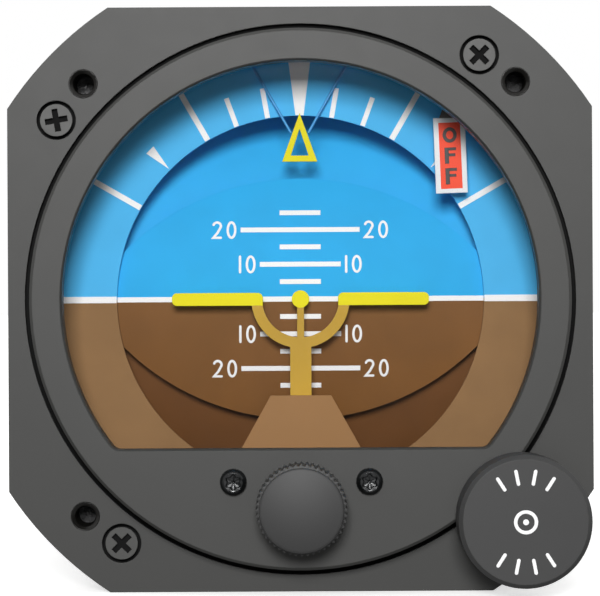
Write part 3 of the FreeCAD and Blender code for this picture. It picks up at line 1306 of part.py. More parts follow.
def rotor():
    """Heavy rim, web and hub of the spinning wheel."""
    web_y = ROTOR_TOP - ROTOR_WEB
    hub_foot = web_y - ROTOR_HUB
    chamfer = ROTOR_CHAMFER
    save("rotor", turned_z([(ROTOR_SHAFT_R, hub_foot), (ROTOR_HUB_R, hub_foot), (ROTOR_HUB_R, web_y),
                            (ROTOR_BORE_R, web_y), (ROTOR_BORE_R, ROTOR_BOTTOM), (ROTOR_R, ROTOR_BOTTOM),
                            (ROTOR_R, ROTOR_TOP - chamfer), (ROTOR_R - chamfer, ROTOR_TOP),
                            (ROTOR_SHAFT_R, ROTOR_TOP)], 0, PITCH_AXIS_Y))


def rotor_shaft():
    save("rotor_shaft", rod_z(ROTOR_SHAFT_R - SHAFT_FIT, GYRO_BOTTOM + SHAFT_FOOT, GYRO_TOP - SHAFT_HEAD,
                              0, PITCH_AXIS_Y))


# ---------------------------------------------------------------- pitch card
def pitch_card():
    """Curved dial sheet, wider than the opening of the bank ring."""
    centre = CARD_OUTLINE_R - CARD_HALF_HEIGHT
    upper = rod_y(CARD_OUTLINE_R, 0, CARD_PIVOT_Y, 0, -centre)
    lower = rod_y(CARD_OUTLINE_R, 0, CARD_PIVOT_Y, 0, centre)
    reach = CARD_ARM_X + CARD_ARM_THICK
    tabs = box(-reach, reach, 0, CARD_PIVOT_Y, -CARD_TAB_HALF, CARD_TAB_HALF)
    edge = box(-reach, reach, 0, CARD_PIVOT_Y, -BEYOND, BEYOND)
    outline = fused([upper.common(lower), tabs]).common(edge)
    shell = tube_x(CARD_R, CARD_R - SHELL, -reach, reach, CARD_PIVOT_Y, 0)
    save("pitch_card", shell.common(outline))


def arm_strap(half_at_pivot):
    """Flat arm from the card's rear face to past its pivot, as a prism along X."""
    x0, x1 = CARD_ARM_X, CARD_ARM_X + CARD_ARM_THICK
    upper = [(CARD_FRONT_Y, CARD_TAB_HALF), (FRAME_END + ARM_NECK_END, ARM_NECK_HALF),
             (PITCH_AXIS_Y - ARM_WIDE_START, half_at_pivot), (CARD_PIVOT_Y + ARM_WIDE_END, half_at_pivot),
             (CARD_PIVOT_Y + WEIGHT_START, ARM_TAIL_HALF), (CARD_PIVOT_Y + WEIGHT_END, ARM_TAIL_HALF)]
    lower = [(y, -z) for y, z in reversed(upper)]
    strap = prism_x(upper + lower, x0, x1)
    return strap.common(rod_x(CARD_R - SHELL, x0 - CUT, x1 + CUT, CARD_PIVOT_Y))


def pivot_hole():
    return rod_x(PIVOT_R + RUNNING - FIT, -BEYOND, BEYOND, CARD_PIVOT_Y)


def card_arm_right():
    """Arm on the gear side, with a window that the gyro trunnion swings in."""
    x0, x1 = CARD_ARM_X - CUT, CARD_ARM_X + CARD_ARM_THICK + CUT
    window = box(x0, x1, PITCH_AXIS_Y - ARM_WINDOW_FRONT, PITCH_AXIS_Y + ARM_WINDOW_BACK,
                 -ARM_WINDOW_HALF, ARM_WINDOW_HALF)
    start, end = PITCH_AXIS_Y - ARM_LIGHT_START, PITCH_AXIS_Y - ARM_LIGHT_END
    light = prism_x([(start, ARM_LIGHT_NARROW), (start, -ARM_LIGHT_NARROW), (end, -ARM_LIGHT_WIDE),
                     (end, ARM_LIGHT_WIDE)], x0, x1)
    save("card_arm_right", cut_all(arm_strap(ARM_GEAR_SIDE_HALF), [window, light, pivot_hole()]))


def card_arm_left():
    arm = mirror_x(arm_strap(ARM_PLAIN_SIDE_HALF))
    hub = rod_x(ARM_HUB_R, -GEAR_X - GEAR_WIDTH, -CARD_ARM_X, CARD_PIVOT_Y)
    save("card_arm_left", fused([arm, hub]).cut(pivot_hole()))


def card_gear():
    """Toothed sector on the right arm."""
    x0, x1 = CARD_ARM_X + CARD_ARM_THICK, GEAR_X + GEAR_WIDTH
    outline = gear_outline(CARD_TEETH, GEAR_MODULE, 180 + 180 / CARD_TEETH)
    gear = prism_x([(y + CARD_PIVOT_Y, z) for y, z in outline], x0, x1)
    spread = PITCH_RANGE / 2 + GEAR_SPARE
    rays = [polar(BEYOND, angle) for angle in (180 + spread, 180, 180 - spread)]
    wedge = prism_x([(CARD_PIVOT_Y, 0)] + [(CARD_PIVOT_Y + y, z) for y, z in rays], x0, x1)
    body = fused([gear.common(wedge), rod_x(ARM_HUB_R, x0, x1, CARD_PIVOT_Y)])
    save("card_gear", body.cut(pivot_hole()))


def card_weights():
    """Brass weights behind the pivot that balance the card and its arms."""
    block = box(CARD_ARM_X + CARD_ARM_THICK, WEIGHT_X, CARD_PIVOT_Y + WEIGHT_START,
                CARD_PIVOT_Y + WEIGHT_END, -WEIGHT_HALF, WEIGHT_HALF)
    save("card_weights", block, mirror_x(block))


# ---------------------------------------------------------------- caging knob
def cage_knob():
    front, rear = CAGE_KNOB_CHAMFER, CAGE_KNOB_BACK_CHAMFER
    knob = turned_y([(0, KNOB_FACE_Y), (CAGE_KNOB_R - front, KNOB_FACE_Y),
                     (CAGE_KNOB_R, KNOB_FACE_Y + front), (CAGE_KNOB_R, KNOB_BACK_Y - rear),
                     (CAGE_KNOB_R - rear, KNOB_BACK_Y), (0, KNOB_BACK_Y)], CAGE_X, CAGE_Z)
    bore = rod_y(CAGE_ROD_R, KNOB_FACE_Y + CAGE_KNOB_CAP, KNOB_BACK_Y + CUT, CAGE_X, CAGE_Z)
    save("cage_knob", knob.cut(bore))


def cage_rod():
    """Long rod through the tunnel, with the spring collar."""
    collar_y = CASE_FLANGE_END + BUSH_LENGTH + CAGE_SPRING_LENGTH
    rod = rod_y(CAGE_ROD_R, KNOB_FACE_Y + CAGE_KNOB_CAP, COVER_Y + CAGE_ROD_TAIL, CAGE_X, CAGE_Z)
    collar = rod_y(TUNNEL_BORE_R - COLLAR_GAP, collar_y, collar_y + COLLAR_LENGTH, CAGE_X, CAGE_Z)
    save("cage_rod", rod.fuse(collar))


def cage_bush():
    save("cage_bush", tube_y(TUNNEL_BORE_R - FIT, CAGE_ROD_R + RUNNING, CASE_Y,
                             CASE_FLANGE_END + BUSH_LENGTH, CAGE_X, CAGE_Z))


def cage_spring():
    """Return spring between the bush and the collar, of square wire."""
    start = CASE_FLANGE_END + BUSH_LENGTH
    radius = (CAGE_ROD_R + TUNNEL_BORE_R) / 2
    run = CAGE_SPRING_LENGTH - CAGE_SPRING_WIRE
    helix = Part.makeHelix(run / CAGE_SPRING_TURNS, run, radius)
    half = CAGE_SPRING_WIRE / 2
    section = Part.makePolygon([Vector(radius + a, 0, b) for a, b in (
        (-half, -half), (half, -half), (half, half), (-half, half), (-half, -half))])
    spring = Part.Wire(helix).makePipeShell([section], True, True)
    spring.rotate(Vector(0, 0, 0), Vector(1, 0, 0), -90)
    spring.translate(Vector(CAGE_X, start + half, CAGE_Z))
    save("cage_spring", spring)


def cage_fork():
    """Arm from the rod to the roller, lying along the radius at 45 degrees below the right."""
    y0, y1 = ROLLER_Y - FORK_HALF, ROLLER_Y + FORK_HALF
    start = ROLLER_INNER + ROLLER_LENGTH
    arm = box(start, CAGE_REACH, y0, y1, -FORK_HALF, FORK_HALF)
    pin = rod_x(ROLLER_PIN_R, ROLLER_INNER - ROLLER_PIN_END, start + CUT, ROLLER_Y)
    clamp = rod_y(TUNNEL_BORE_R - COLLAR_GAP, y0, y1, CAGE_REACH)
    body = fused([arm, pin, clamp]).cut(bore_y(CAGE_ROD_R, y0, y1, CAGE_REACH))
    save("cage_fork", turn_y(body, 45))


def cage_roller():
    roller = tube_x(ROLLER_R, ROLLER_PIN_R + RUNNING, ROLLER_INNER,
                    ROLLER_INNER + ROLLER_LENGTH - ROLLER_PLAY, ROLLER_Y, 0)
    save("cage_roller", turn_y(roller, 45))


# ---------------------------------------------------------------- build
PIECES = [
    bezel, window_glass, glass_gasket, glass_retainer, mount_inserts, flange_screws,
    index_pointer, pointer_hangers,
    aircraft_wings, aircraft_post, adjust_knob, adjust_shaft, knob_bushing, adjuster_bracket,
    aircraft_mask, adjuster_screws,
    off_flag, flag_shaft, flag_motor,
    case_gasket, main_case, rear_frame, rear_cover, rear_screws,
    connector_shell, connector_insert, connector_pins, power_board,
    slip_rings, brush_block, brushes,
    roll_bearing_outers, roll_bearing_inners, roll_spindle, roll_cam,
    bank_ring, roll_drum, backdrop, gimbal_yoke, pitch_bearings, card_pivots,
    rotor_case, rotor_cover, trunnions, pitch_gear, stator, erector, rotor, rotor_shaft,
    pitch_card, card_arm_right, card_arm_left, card_gear, card_weights,
    cage_knob, cage_rod, cage_bush, cage_spring, cage_fork, cage_roller,
]

os.makedirs("parts", exist_ok=True)
for make in PIECES:
    make()
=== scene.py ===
"""Looks of a panel-mounted electric attitude indicator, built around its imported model."""
import json
import logging
import math
from dataclasses import dataclass, field
from enum import Enum
from typing import Callable, Sequence

import bmesh
import bpy
from mathutils import Euler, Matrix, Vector

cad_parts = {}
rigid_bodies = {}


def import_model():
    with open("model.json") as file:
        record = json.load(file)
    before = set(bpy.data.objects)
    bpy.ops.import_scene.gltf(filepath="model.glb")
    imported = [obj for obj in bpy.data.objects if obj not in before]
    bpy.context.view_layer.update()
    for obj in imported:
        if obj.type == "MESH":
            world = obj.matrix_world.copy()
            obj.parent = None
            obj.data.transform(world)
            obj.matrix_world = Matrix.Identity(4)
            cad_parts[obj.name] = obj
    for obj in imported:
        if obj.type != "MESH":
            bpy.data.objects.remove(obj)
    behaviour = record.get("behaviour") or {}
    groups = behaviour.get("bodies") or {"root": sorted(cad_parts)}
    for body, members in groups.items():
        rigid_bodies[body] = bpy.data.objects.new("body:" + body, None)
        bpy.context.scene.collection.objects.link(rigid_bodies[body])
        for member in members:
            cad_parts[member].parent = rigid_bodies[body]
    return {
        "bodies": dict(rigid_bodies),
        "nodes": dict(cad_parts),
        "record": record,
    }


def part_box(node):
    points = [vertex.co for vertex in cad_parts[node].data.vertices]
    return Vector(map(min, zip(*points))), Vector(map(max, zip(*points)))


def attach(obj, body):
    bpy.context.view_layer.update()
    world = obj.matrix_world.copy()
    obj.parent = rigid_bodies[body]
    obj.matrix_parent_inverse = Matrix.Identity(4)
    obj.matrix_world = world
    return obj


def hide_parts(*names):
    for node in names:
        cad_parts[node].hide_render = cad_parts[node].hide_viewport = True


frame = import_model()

log = logging.getLogger("attitude_indicator")

MM = 0.001
Colour = tuple[float, float, float]
Point = tuple[float, float]
Faces = list[list[Point]]
Surface = Callable[[float, float, float], Vector]

MITRE_LIMIT = 0.45

# Near-black painted shade for the bezel's hollows and the screws' cross recesses.
SHADE_BLACK: Colour = (0.004, 0.004, 0.004)
DUST: Colour = (0.28, 0.27, 0.25)
CHIPPED: Colour = (0.32, 0.32, 0.31)
SPECK: Colour = (0.03, 0.03, 0.03)


def srgb(red: int, green: int, blue: int) -> Colour:
    """Turn a display colour into a linear one.

    Args:
        red: Red from 0 to 255.
        green: Green from 0 to 255.
        blue: Blue from 0 to 255.

    Returns:
        The same colour in linear light.
    """
    def linear(value: int) -> float:
        """One channel in linear light."""
        share = value / 255
        return share / 12.92 if share <= 0.04045 else ((share + 0.055) / 1.055) ** 2.4
    return linear(red), linear(green), linear(blue)


def clock(radius: float, degrees: float) -> Point:
    """Point at a radius, with the angle counted clockwise from straight up."""
    angle = math.radians(degrees)
    return radius * math.sin(angle), radius * math.cos(angle)


class Axis(Enum):
    """Axis that a turned part or a turned finish goes round."""

    X = 0
    Y = 1
    Z = 2


# ---- node trees
class Nodes:
    """Node tree with short calls for adding and joining nodes."""

    def __init__(self, tree: bpy.types.NodeTree) -> None:
        """Start from an empty tree."""
        self.tree = tree
        self.tree.nodes.clear()

    def node(self, kind: str, **settings: object) -> bpy.types.Node:
        """Add a node and set its properties.

        Args:
            kind: Node type.
            **settings: Properties of the node.

        Returns:
            The new node.
        """
        made = self.tree.nodes.new(kind)
        for key, value in settings.items():
            setattr(made, key, value)
        return made

    def link(self, source: bpy.types.NodeSocket, target: bpy.types.NodeSocket) -> None:
        """Join two sockets."""
        self.tree.links.new(source, target)

    def parts(self, vector: bpy.types.NodeSocket) -> list[bpy.types.NodeSocket]:
        """The three values of a vector."""
        made = self.node("ShaderNodeSeparateXYZ")
        self.link(vector, made.inputs[0])
        return list(made.outputs)

    def ramp(self, source: bpy.types.NodeSocket, low: float, high: float, to_low: float = 0.0,
             to_high: float = 1.0, **settings: object) -> bpy.types.NodeSocket:
        """Map a value from one range to another and clamp it."""
        made = self.node("ShaderNodeMapRange", **settings)
        for index, value in enumerate((low, high, to_low, to_high), start=1):
            made.inputs[index].default_value = value
        self.link(source, made.inputs[0])
        return made.outputs[0]

    def maths(self, operation: str, first: bpy.types.NodeSocket,
              second: float | bpy.types.NodeSocket) -> bpy.types.NodeSocket:
        """A Math node on a socket and a number or a second socket."""
        made = self.node("ShaderNodeMath", operation=operation)
        self.link(first, made.inputs[0])
        if isinstance(second, float):
            made.inputs[1].default_value = second
        else:
            self.link(second, made.inputs[1])
        return made.outputs[0]


class Shade(Nodes):
    """Node tree of one finish, with short calls for the nodes that finishes share."""

    def __init__(self, name: str, colour: Colour, roughness: float, metallic: float = 0.0,
                 **sockets: float) -> None:
        """Start a finish from its even values.

        Args:
            name: Name of the material.
            colour: Base colour in linear light.
            roughness: Roughness of the shader.
            metallic: Metallic share of the shader.
            **sockets: Other shader sockets by name, with underscores for spaces.
        """
        self.material = bpy.data.materials.new(name)
        self.material.use_nodes = True
        super().__init__(self.material.node_tree)
        self.surface = self.node("ShaderNodeBsdfPrincipled")
        output = self.node("ShaderNodeOutputMaterial")
        self.link(self.surface.outputs["BSDF"], output.inputs["Surface"])
        self.surface.inputs["Base Color"].default_value = (*colour, 1.0)
        self.surface.inputs["Roughness"].default_value = roughness
        self.surface.inputs["Metallic"].default_value = metallic
        for socket, value in sockets.items():
            self.surface.inputs[socket.replace("_", " ")].default_value = value
        self.material.diffuse_color = (*colour, 1.0)
        self.place = self.node("ShaderNodeTexCoord").outputs["Object"]

    def feed(self, socket: str, source: bpy.types.NodeSocket) -> None:
        """Feed one of the shader's sockets."""
        self.link(source, self.surface.inputs[socket])

    def stretched(self, scale: Sequence[float],
                  turn: Sequence[float] = (0.0, 0.0, 0.0)) -> bpy.types.NodeSocket:
        """Object coordinates scaled along each axis, then turned by angles in radians."""
        mapping = self.node("ShaderNodeMapping")
        mapping.inputs["Scale"].default_value = scale
        mapping.inputs["Rotation"].default_value = turn
        self.link(self.place, mapping.inputs["Vector"])
        return mapping.outputs["Vector"]

    def around(self, axis: Axis, centre: Sequence[float], marks: float) -> bpy.types.NodeSocket:
        """Coordinates in which a turned part's tool marks are bands of constant radius.

        Args:
            axis: Axis that the part was turned about.
            centre: Point on that axis, in metres.
            marks: Bands for each metre.

        Returns:
            The coordinates.
        """
        shift = self.node("ShaderNodeVectorMath", operation="SUBTRACT")
        shift.inputs[1].default_value = centre
        self.link(self.place, shift.inputs[0])
        spot = shift.outputs["Vector"]
        joined = self.node("ShaderNodeCombineXYZ")
        self.link(self.scaled(self.radius(spot, axis), marks), joined.inputs[0])
        self.link(self.scaled(self.parts(spot)[axis.value], marks), joined.inputs[1])
        return joined.outputs["Vector"]

    def radius(self, vector: bpy.types.NodeSocket, axis: Axis) -> bpy.types.NodeSocket:
        """Length of a vector, seen along an axis."""
        flat = self.node("ShaderNodeVectorMath", operation="MULTIPLY")
        flat.inputs[1].default_value = [0.0 if index == axis.value else 1.0 for index in range(3)]
        self.link(vector, flat.inputs[0])
        length = self.node("ShaderNodeVectorMath", operation="LENGTH")
        self.link(flat.outputs["Vector"], length.inputs[0])
        return length.outputs["Value"]

    def scaled(self, source: bpy.types.NodeSocket, by: float) -> bpy.types.NodeSocket:
        """A value times a number."""
        return self.maths("MULTIPLY", source, by)

    def noise(self, scale: float, detail: float = 3.0, roughness: float = 0.5,
              vector: bpy.types.NodeSocket | None = None,
              distortion: float = 0.0) -> bpy.types.NodeSocket:
        """Noise value over object coordinates, or over a given vector."""
        made = self.node("ShaderNodeTexNoise")
        for socket, value in (("Scale", scale), ("Detail", detail), ("Roughness", roughness),
                              ("Distortion", distortion)):
            made.inputs[socket].default_value = value
        self.link(vector or self.place, made.inputs["Vector"])
        return made.outputs["Fac"]

    def mixed(self, share: bpy.types.NodeSocket, first: Colour | bpy.types.NodeSocket,
              second: Colour | bpy.types.NodeSocket) -> bpy.types.NodeSocket:
        """Mix two colours, each even or from a socket."""
        made = self.node("ShaderNodeMix", data_type="RGBA")
        self.link(share, made.inputs[0])
        for index, colour in ((6, first), (7, second)):
            if isinstance(colour, tuple):
                made.inputs[index].default_value = (*colour, 1.0)
            else:
                self.link(colour, made.inputs[index])
        return made.outputs[2]

    def rounded(self, radius: float) -> bpy.types.NodeSocket:
        """Normal that rounds sharp edges by a radius in metres."""
        made = self.node("ShaderNodeBevel", samples=4)
        made.inputs["Radius"].default_value = radius
        return made.outputs["Normal"]

    def edge_share(self, softened: bpy.types.NodeSocket) -> bpy.types.NodeSocket:
        """Value that rises towards one on sharp edges."""
        made = self.node("ShaderNodeVectorMath", operation="DOT_PRODUCT")
        self.link(softened, made.inputs[0])
        self.link(self.node("ShaderNodeNewGeometry").outputs["Normal"], made.inputs[1])
        return self.ramp(made.outputs["Value"], 0.995, 0.86)

    def relief(self, height: bpy.types.NodeSocket, depth: float,
               normal: bpy.types.NodeSocket | None = None) -> bpy.types.NodeSocket:
        """Bump of a height from 0 to 1 and a depth in metres."""
        made = self.node("ShaderNodeBump")
        made.inputs["Strength"].default_value = 1.0
        made.inputs["Distance"].default_value = depth
        self.link(height, made.inputs["Height"])
        if normal is not None:
            self.link(normal, made.inputs["Normal"])
        return made.outputs["Normal"]


def lighter(colour: Colour, by: float) -> Colour:
    """A colour times a number, kept under one."""
    return tuple(min(1.0, channel * by) for channel in colour)


# ---- finishes
@dataclass(frozen=True)
class Bare:
    """Stretch of a piece in another colour past a level along one axis, such as painted shade.

    The stretch can be kept within a square's half side and a circle's radius about that axis.
    """

    colour: Colour
    axis: Axis
    start: float
    within: tuple[float, float] | None = None
    blend: float = 5e-5
    dulled: float = 0.6

    def share(self, shade: Shade) -> bpy.types.NodeSocket:
        """Value of one inside the stretch.

        Args:
            shade: Finish that asks.

        Returns:
            The value.
        """
        parts = shade.parts(shade.place)
        past = shade.ramp(parts[self.axis.value], self.start - self.blend,
                           self.start + self.blend)
        if self.within is None:
            return past
        sides = [shade.maths("ABSOLUTE", parts[index], 0.0)
                 for index in range(3) if index != self.axis.value]
        square = shade.maths("LESS_THAN", shade.maths("MAXIMUM", *sides), self.within[0])
        disc = shade.maths("LESS_THAN", shade.radius(shade.place, self.axis), self.within[1])
        return shade.maths("MULTIPLY", past, shade.maths("MULTIPLY", square, disc))


@dataclass(frozen=True)
class Enamel:
    """Sprayed paint: orange peel, mottle, rounded rubbed edges, painted edge highlight and shade.
    """

    name: str
    colour: Colour
    roughness: float = 0.45
    peel: float = 2.0e-6
    peel_scale: float = 3000.0
    mottle: float = 0.04
    rub: float = 0.03
    wear: float = 0.0
    worn: Colour = (0.3, 0.3, 0.29)
    edge: float = 0.00012
    metallic: float = 0.0
    gloss: float = 0.5
    bare: Bare | None = None

    def make(self) -> bpy.types.Material:
        """Build the material.

        Returns:
            The finished material.
        """
        shade = Shade(self.name, self.colour, self.roughness, self.metallic,
                      Specular_IOR_Level=self.gloss)
        cloud = shade.ramp(shade.noise(90.0, 4.0), 0.3, 0.7)
        tone = shade.mixed(cloud, lighter(self.colour, 1 - self.mottle),
                           lighter(self.colour, 1 + self.mottle))
        soft = shade.rounded(self.edge)
        # Rubbed edges; on the ochre post their pale colour is partly a painted highlight on the
        # edges.
        if self.wear:
            chips_and_glints = shade.ramp(shade.noise(700.0, 5.0, 0.7), 0.35, 0.75)
            share = shade.scaled(shade.maths("MULTIPLY", shade.edge_share(soft), chips_and_glints), self.wear)
            tone = shade.mixed(share, tone, self.worn)
        rub = shade.ramp(shade.noise(260.0, 4.0, 0.6), 0.25, 0.75, self.roughness - self.rub,
                          self.roughness + self.rub)
        # Past a level the paint changes colour: the flag's grey arm, and near-black painted shade
        # in recesses.
        if self.bare:
            share = self.bare.share(shade)
            tone = shade.mixed(share, tone, self.bare.colour)
            rub = shade.maths("ADD", rub, shade.scaled(share, self.bare.dulled))
        shade.feed("Base Color", tone)
        shade.feed("Roughness", rub)
        shade.feed("Normal", shade.relief(shade.noise(self.peel_scale, 2.0), self.peel, soft))
        return shade.material


@dataclass(frozen=True)
class DialPaint:
    """Matt dial paint, sky above the roll axis and earth below it, with fine specks."""

    name: str
    sky: Colour
    earth: Colour
    roughness: float = 0.62
    gloss: float = 0.2
    blend: float = 2e-5
    grain: float = 2.5e-6
    edge: float = 5e-5

    def make(self) -> bpy.types.Material:
        """Build the material.

        Returns:
            The finished material.
        """
        shade = Shade(self.name, self.sky, self.roughness, Specular_IOR_Level=self.gloss)
        height = shade.parts(shade.place)[Axis.Z.value]
        cloud = shade.ramp(shade.noise(140.0, 4.0, 0.6), 0.3, 0.7)
        sky = shade.mixed(cloud, lighter(self.sky, 0.96), lighter(self.sky, 1.04))
        earth = shade.mixed(cloud, lighter(self.earth, 0.93), lighter(self.earth, 1.07))
        tone = shade.mixed(shade.ramp(height, -self.blend, self.blend), earth, sky)
        specks = shade.ramp(shade.noise(5200.0, 1.0), 0.68, 0.78, 0.0, 0.22)
        shade.feed("Base Color", shade.mixed(specks, tone, SPECK))
        shade.feed("Normal", shade.relief(shade.noise(3800.0, 2.0), self.grain,
                                          shade.rounded(self.edge)))
        return shade.material


@dataclass(frozen=True)
class Metal:
    """Bare metal with tool marks that run round an axis or along one."""

    name: str
    colour: Colour
    roughness: float = 0.32
    axis: Axis = Axis.Y
    centre: tuple[float, float, float] = (0.0, 0.0, 0.0)
    turned: bool = True
    marks: float = 6000.0
    depth: float = 1.2e-6
    edge: float = 0.0001
    drawn: float = 40.0
    spread: float = 0.06

    def make(self) -> bpy.types.Material:
        """Build the material.

        Returns:
            The finished material.
        """
        shade = Shade(self.name, self.colour, self.roughness, 1.0)
        if self.turned:
            lay = shade.around(self.axis, self.centre, self.marks)
        else:
            lay = shade.stretched([self.drawn if index == self.axis.value else self.marks
                                   for index in range(3)])
        grain = shade.noise(1.0, 2.0, 0.5, lay)
        stain = shade.ramp(shade.noise(120.0, 5.0, 0.65), 0.35, 0.75)
        shade.feed("Base Color", shade.mixed(stain, lighter(self.colour, 0.82), self.colour))
        wide = shade.maths("ADD", shade.ramp(stain, 0.0, 1.0, 0.1, -0.04),
                           shade.ramp(grain, 0.3, 0.7, self.roughness - self.spread,
                                       self.roughness + self.spread))
        shade.feed("Roughness", wide)
        shade.feed("Normal", shade.relief(grain, self.depth, shade.rounded(self.edge)))
        return shade.material


@dataclass(frozen=True)
class Crinkle:
    """Wrinkle enamel of an instrument case."""

    name: str
    colour: Colour
    roughness: float = 0.42
    wrinkle: float = 1500.0
    depth: float = 3.5e-5
    edge: float = 0.0002
    wear: float = 0.5

    def make(self) -> bpy.types.Material:
        """Build the material.

        Returns:
            The finished material.
        """
        shade = Shade(self.name, self.colour, self.roughness)
        ridge = shade.ramp(shade.noise(self.wrinkle, 2.0, distortion=1.6), 0.36, 0.62)
        soft = shade.rounded(self.edge)
        chips_and_glints = shade.ramp(shade.noise(500.0, 5.0, 0.7), 0.5, 0.8)
        bare = shade.scaled(shade.maths("MULTIPLY", shade.edge_share(soft), chips_and_glints), self.wear)
        # Painted shade and highlight: wrinkle valleys painted darker, crests painted lighter.
        tone = shade.mixed(ridge, lighter(self.colour, 0.7), lighter(self.colour, 1.25))
        shade.feed("Base Color", shade.mixed(bare, tone, CHIPPED))
        shade.feed("Roughness", shade.ramp(ridge, 0.0, 1.0, self.roughness + 0.15,
                                            self.roughness - 0.08))
        shade.feed("Normal", shade.relief(ridge, self.depth, soft))
        return shade.material


@dataclass(frozen=True)
class Moulding:
    """Rubber or moulded plastic with a fine grain and a little dust."""

    name: str
    colour: Colour
    roughness: float = 0.6
    grain: float = 4e-6
    edge: float = 0.0001
    dust: float = 0.18

    def make(self) -> bpy.types.Material:
        """Build the material.

        Returns:
            The finished material.
        """
        shade = Shade(self.name, self.colour, self.roughness)
        dust = shade.ramp(shade.noise(330.0, 5.0, 0.7), 0.45, 0.85, 0.0, self.dust)
        shade.feed("Base Color", shade.mixed(dust, self.colour, DUST))
        shade.feed("Roughness", shade.ramp(dust, 0.0, self.dust, self.roughness,
                                            min(1.0, self.roughness + 0.2)))
        grain = shade.noise(4200.0, 2.0, 0.6)
        shade.feed("Normal", shade.relief(grain, self.grain, shade.rounded(self.edge)))
        return shade.material


@dataclass(frozen=True)
class Laminate:
    """Green circuit board with copper tracks under the lacquer."""

    name: str
    colour: Colour = srgb(28, 84, 52)
    track: Colour = srgb(66, 128, 74)
    roughness: float = 0.35
    pitch: float = 420.0
    depth: float = 2e-5
    edge: float = 0.0001

    def make(self) -> bpy.types.Material:
        """Build the material.

        Returns:
            The finished material.
        """
        shade = Shade(self.name, self.colour, self.roughness)
        brick = shade.node("ShaderNodeTexBrick")
        brick.inputs["Scale"].default_value = 1.0
        brick.inputs["Mortar Size"].default_value = 0.12
        upright = shade.stretched([self.pitch] * 3, (math.radians(90), 0.0, 0.0))
        shade.link(upright, brick.inputs["Vector"])
        lines = shade.maths("MULTIPLY", brick.outputs["Fac"],
                            shade.ramp(shade.noise(160.0, 1.0), 0.45, 0.5))
        shade.feed("Base Color", shade.mixed(lines, self.colour, self.track))
        shade.feed("Normal", shade.relief(lines, self.depth, shade.rounded(self.edge)))
        return shade.material


@dataclass(frozen=True)
class ClearGlass:
    """Thin clear glass that lets light through and keeps a faint film of dust."""

    name: str
    film: Colour = (0.4, 0.43, 0.45)
    roughness: float = 0.04
    least: float = 0.004
    most: float = 0.01

    def make(self) -> bpy.types.Material:
        """Build the material.

        Returns:
            The finished material.
        """
        shade = Shade(self.name, self.film, self.roughness, Alpha=self.most)
        film = shade.ramp(shade.noise(60.0, 5.0, 0.6), 0.4, 0.8, self.least, self.most)
        shade.feed("Alpha", film)
        shade.feed("Roughness", shade.ramp(shade.noise(400.0), 0.3, 0.7, 0.03, 0.07))
        return shade.material


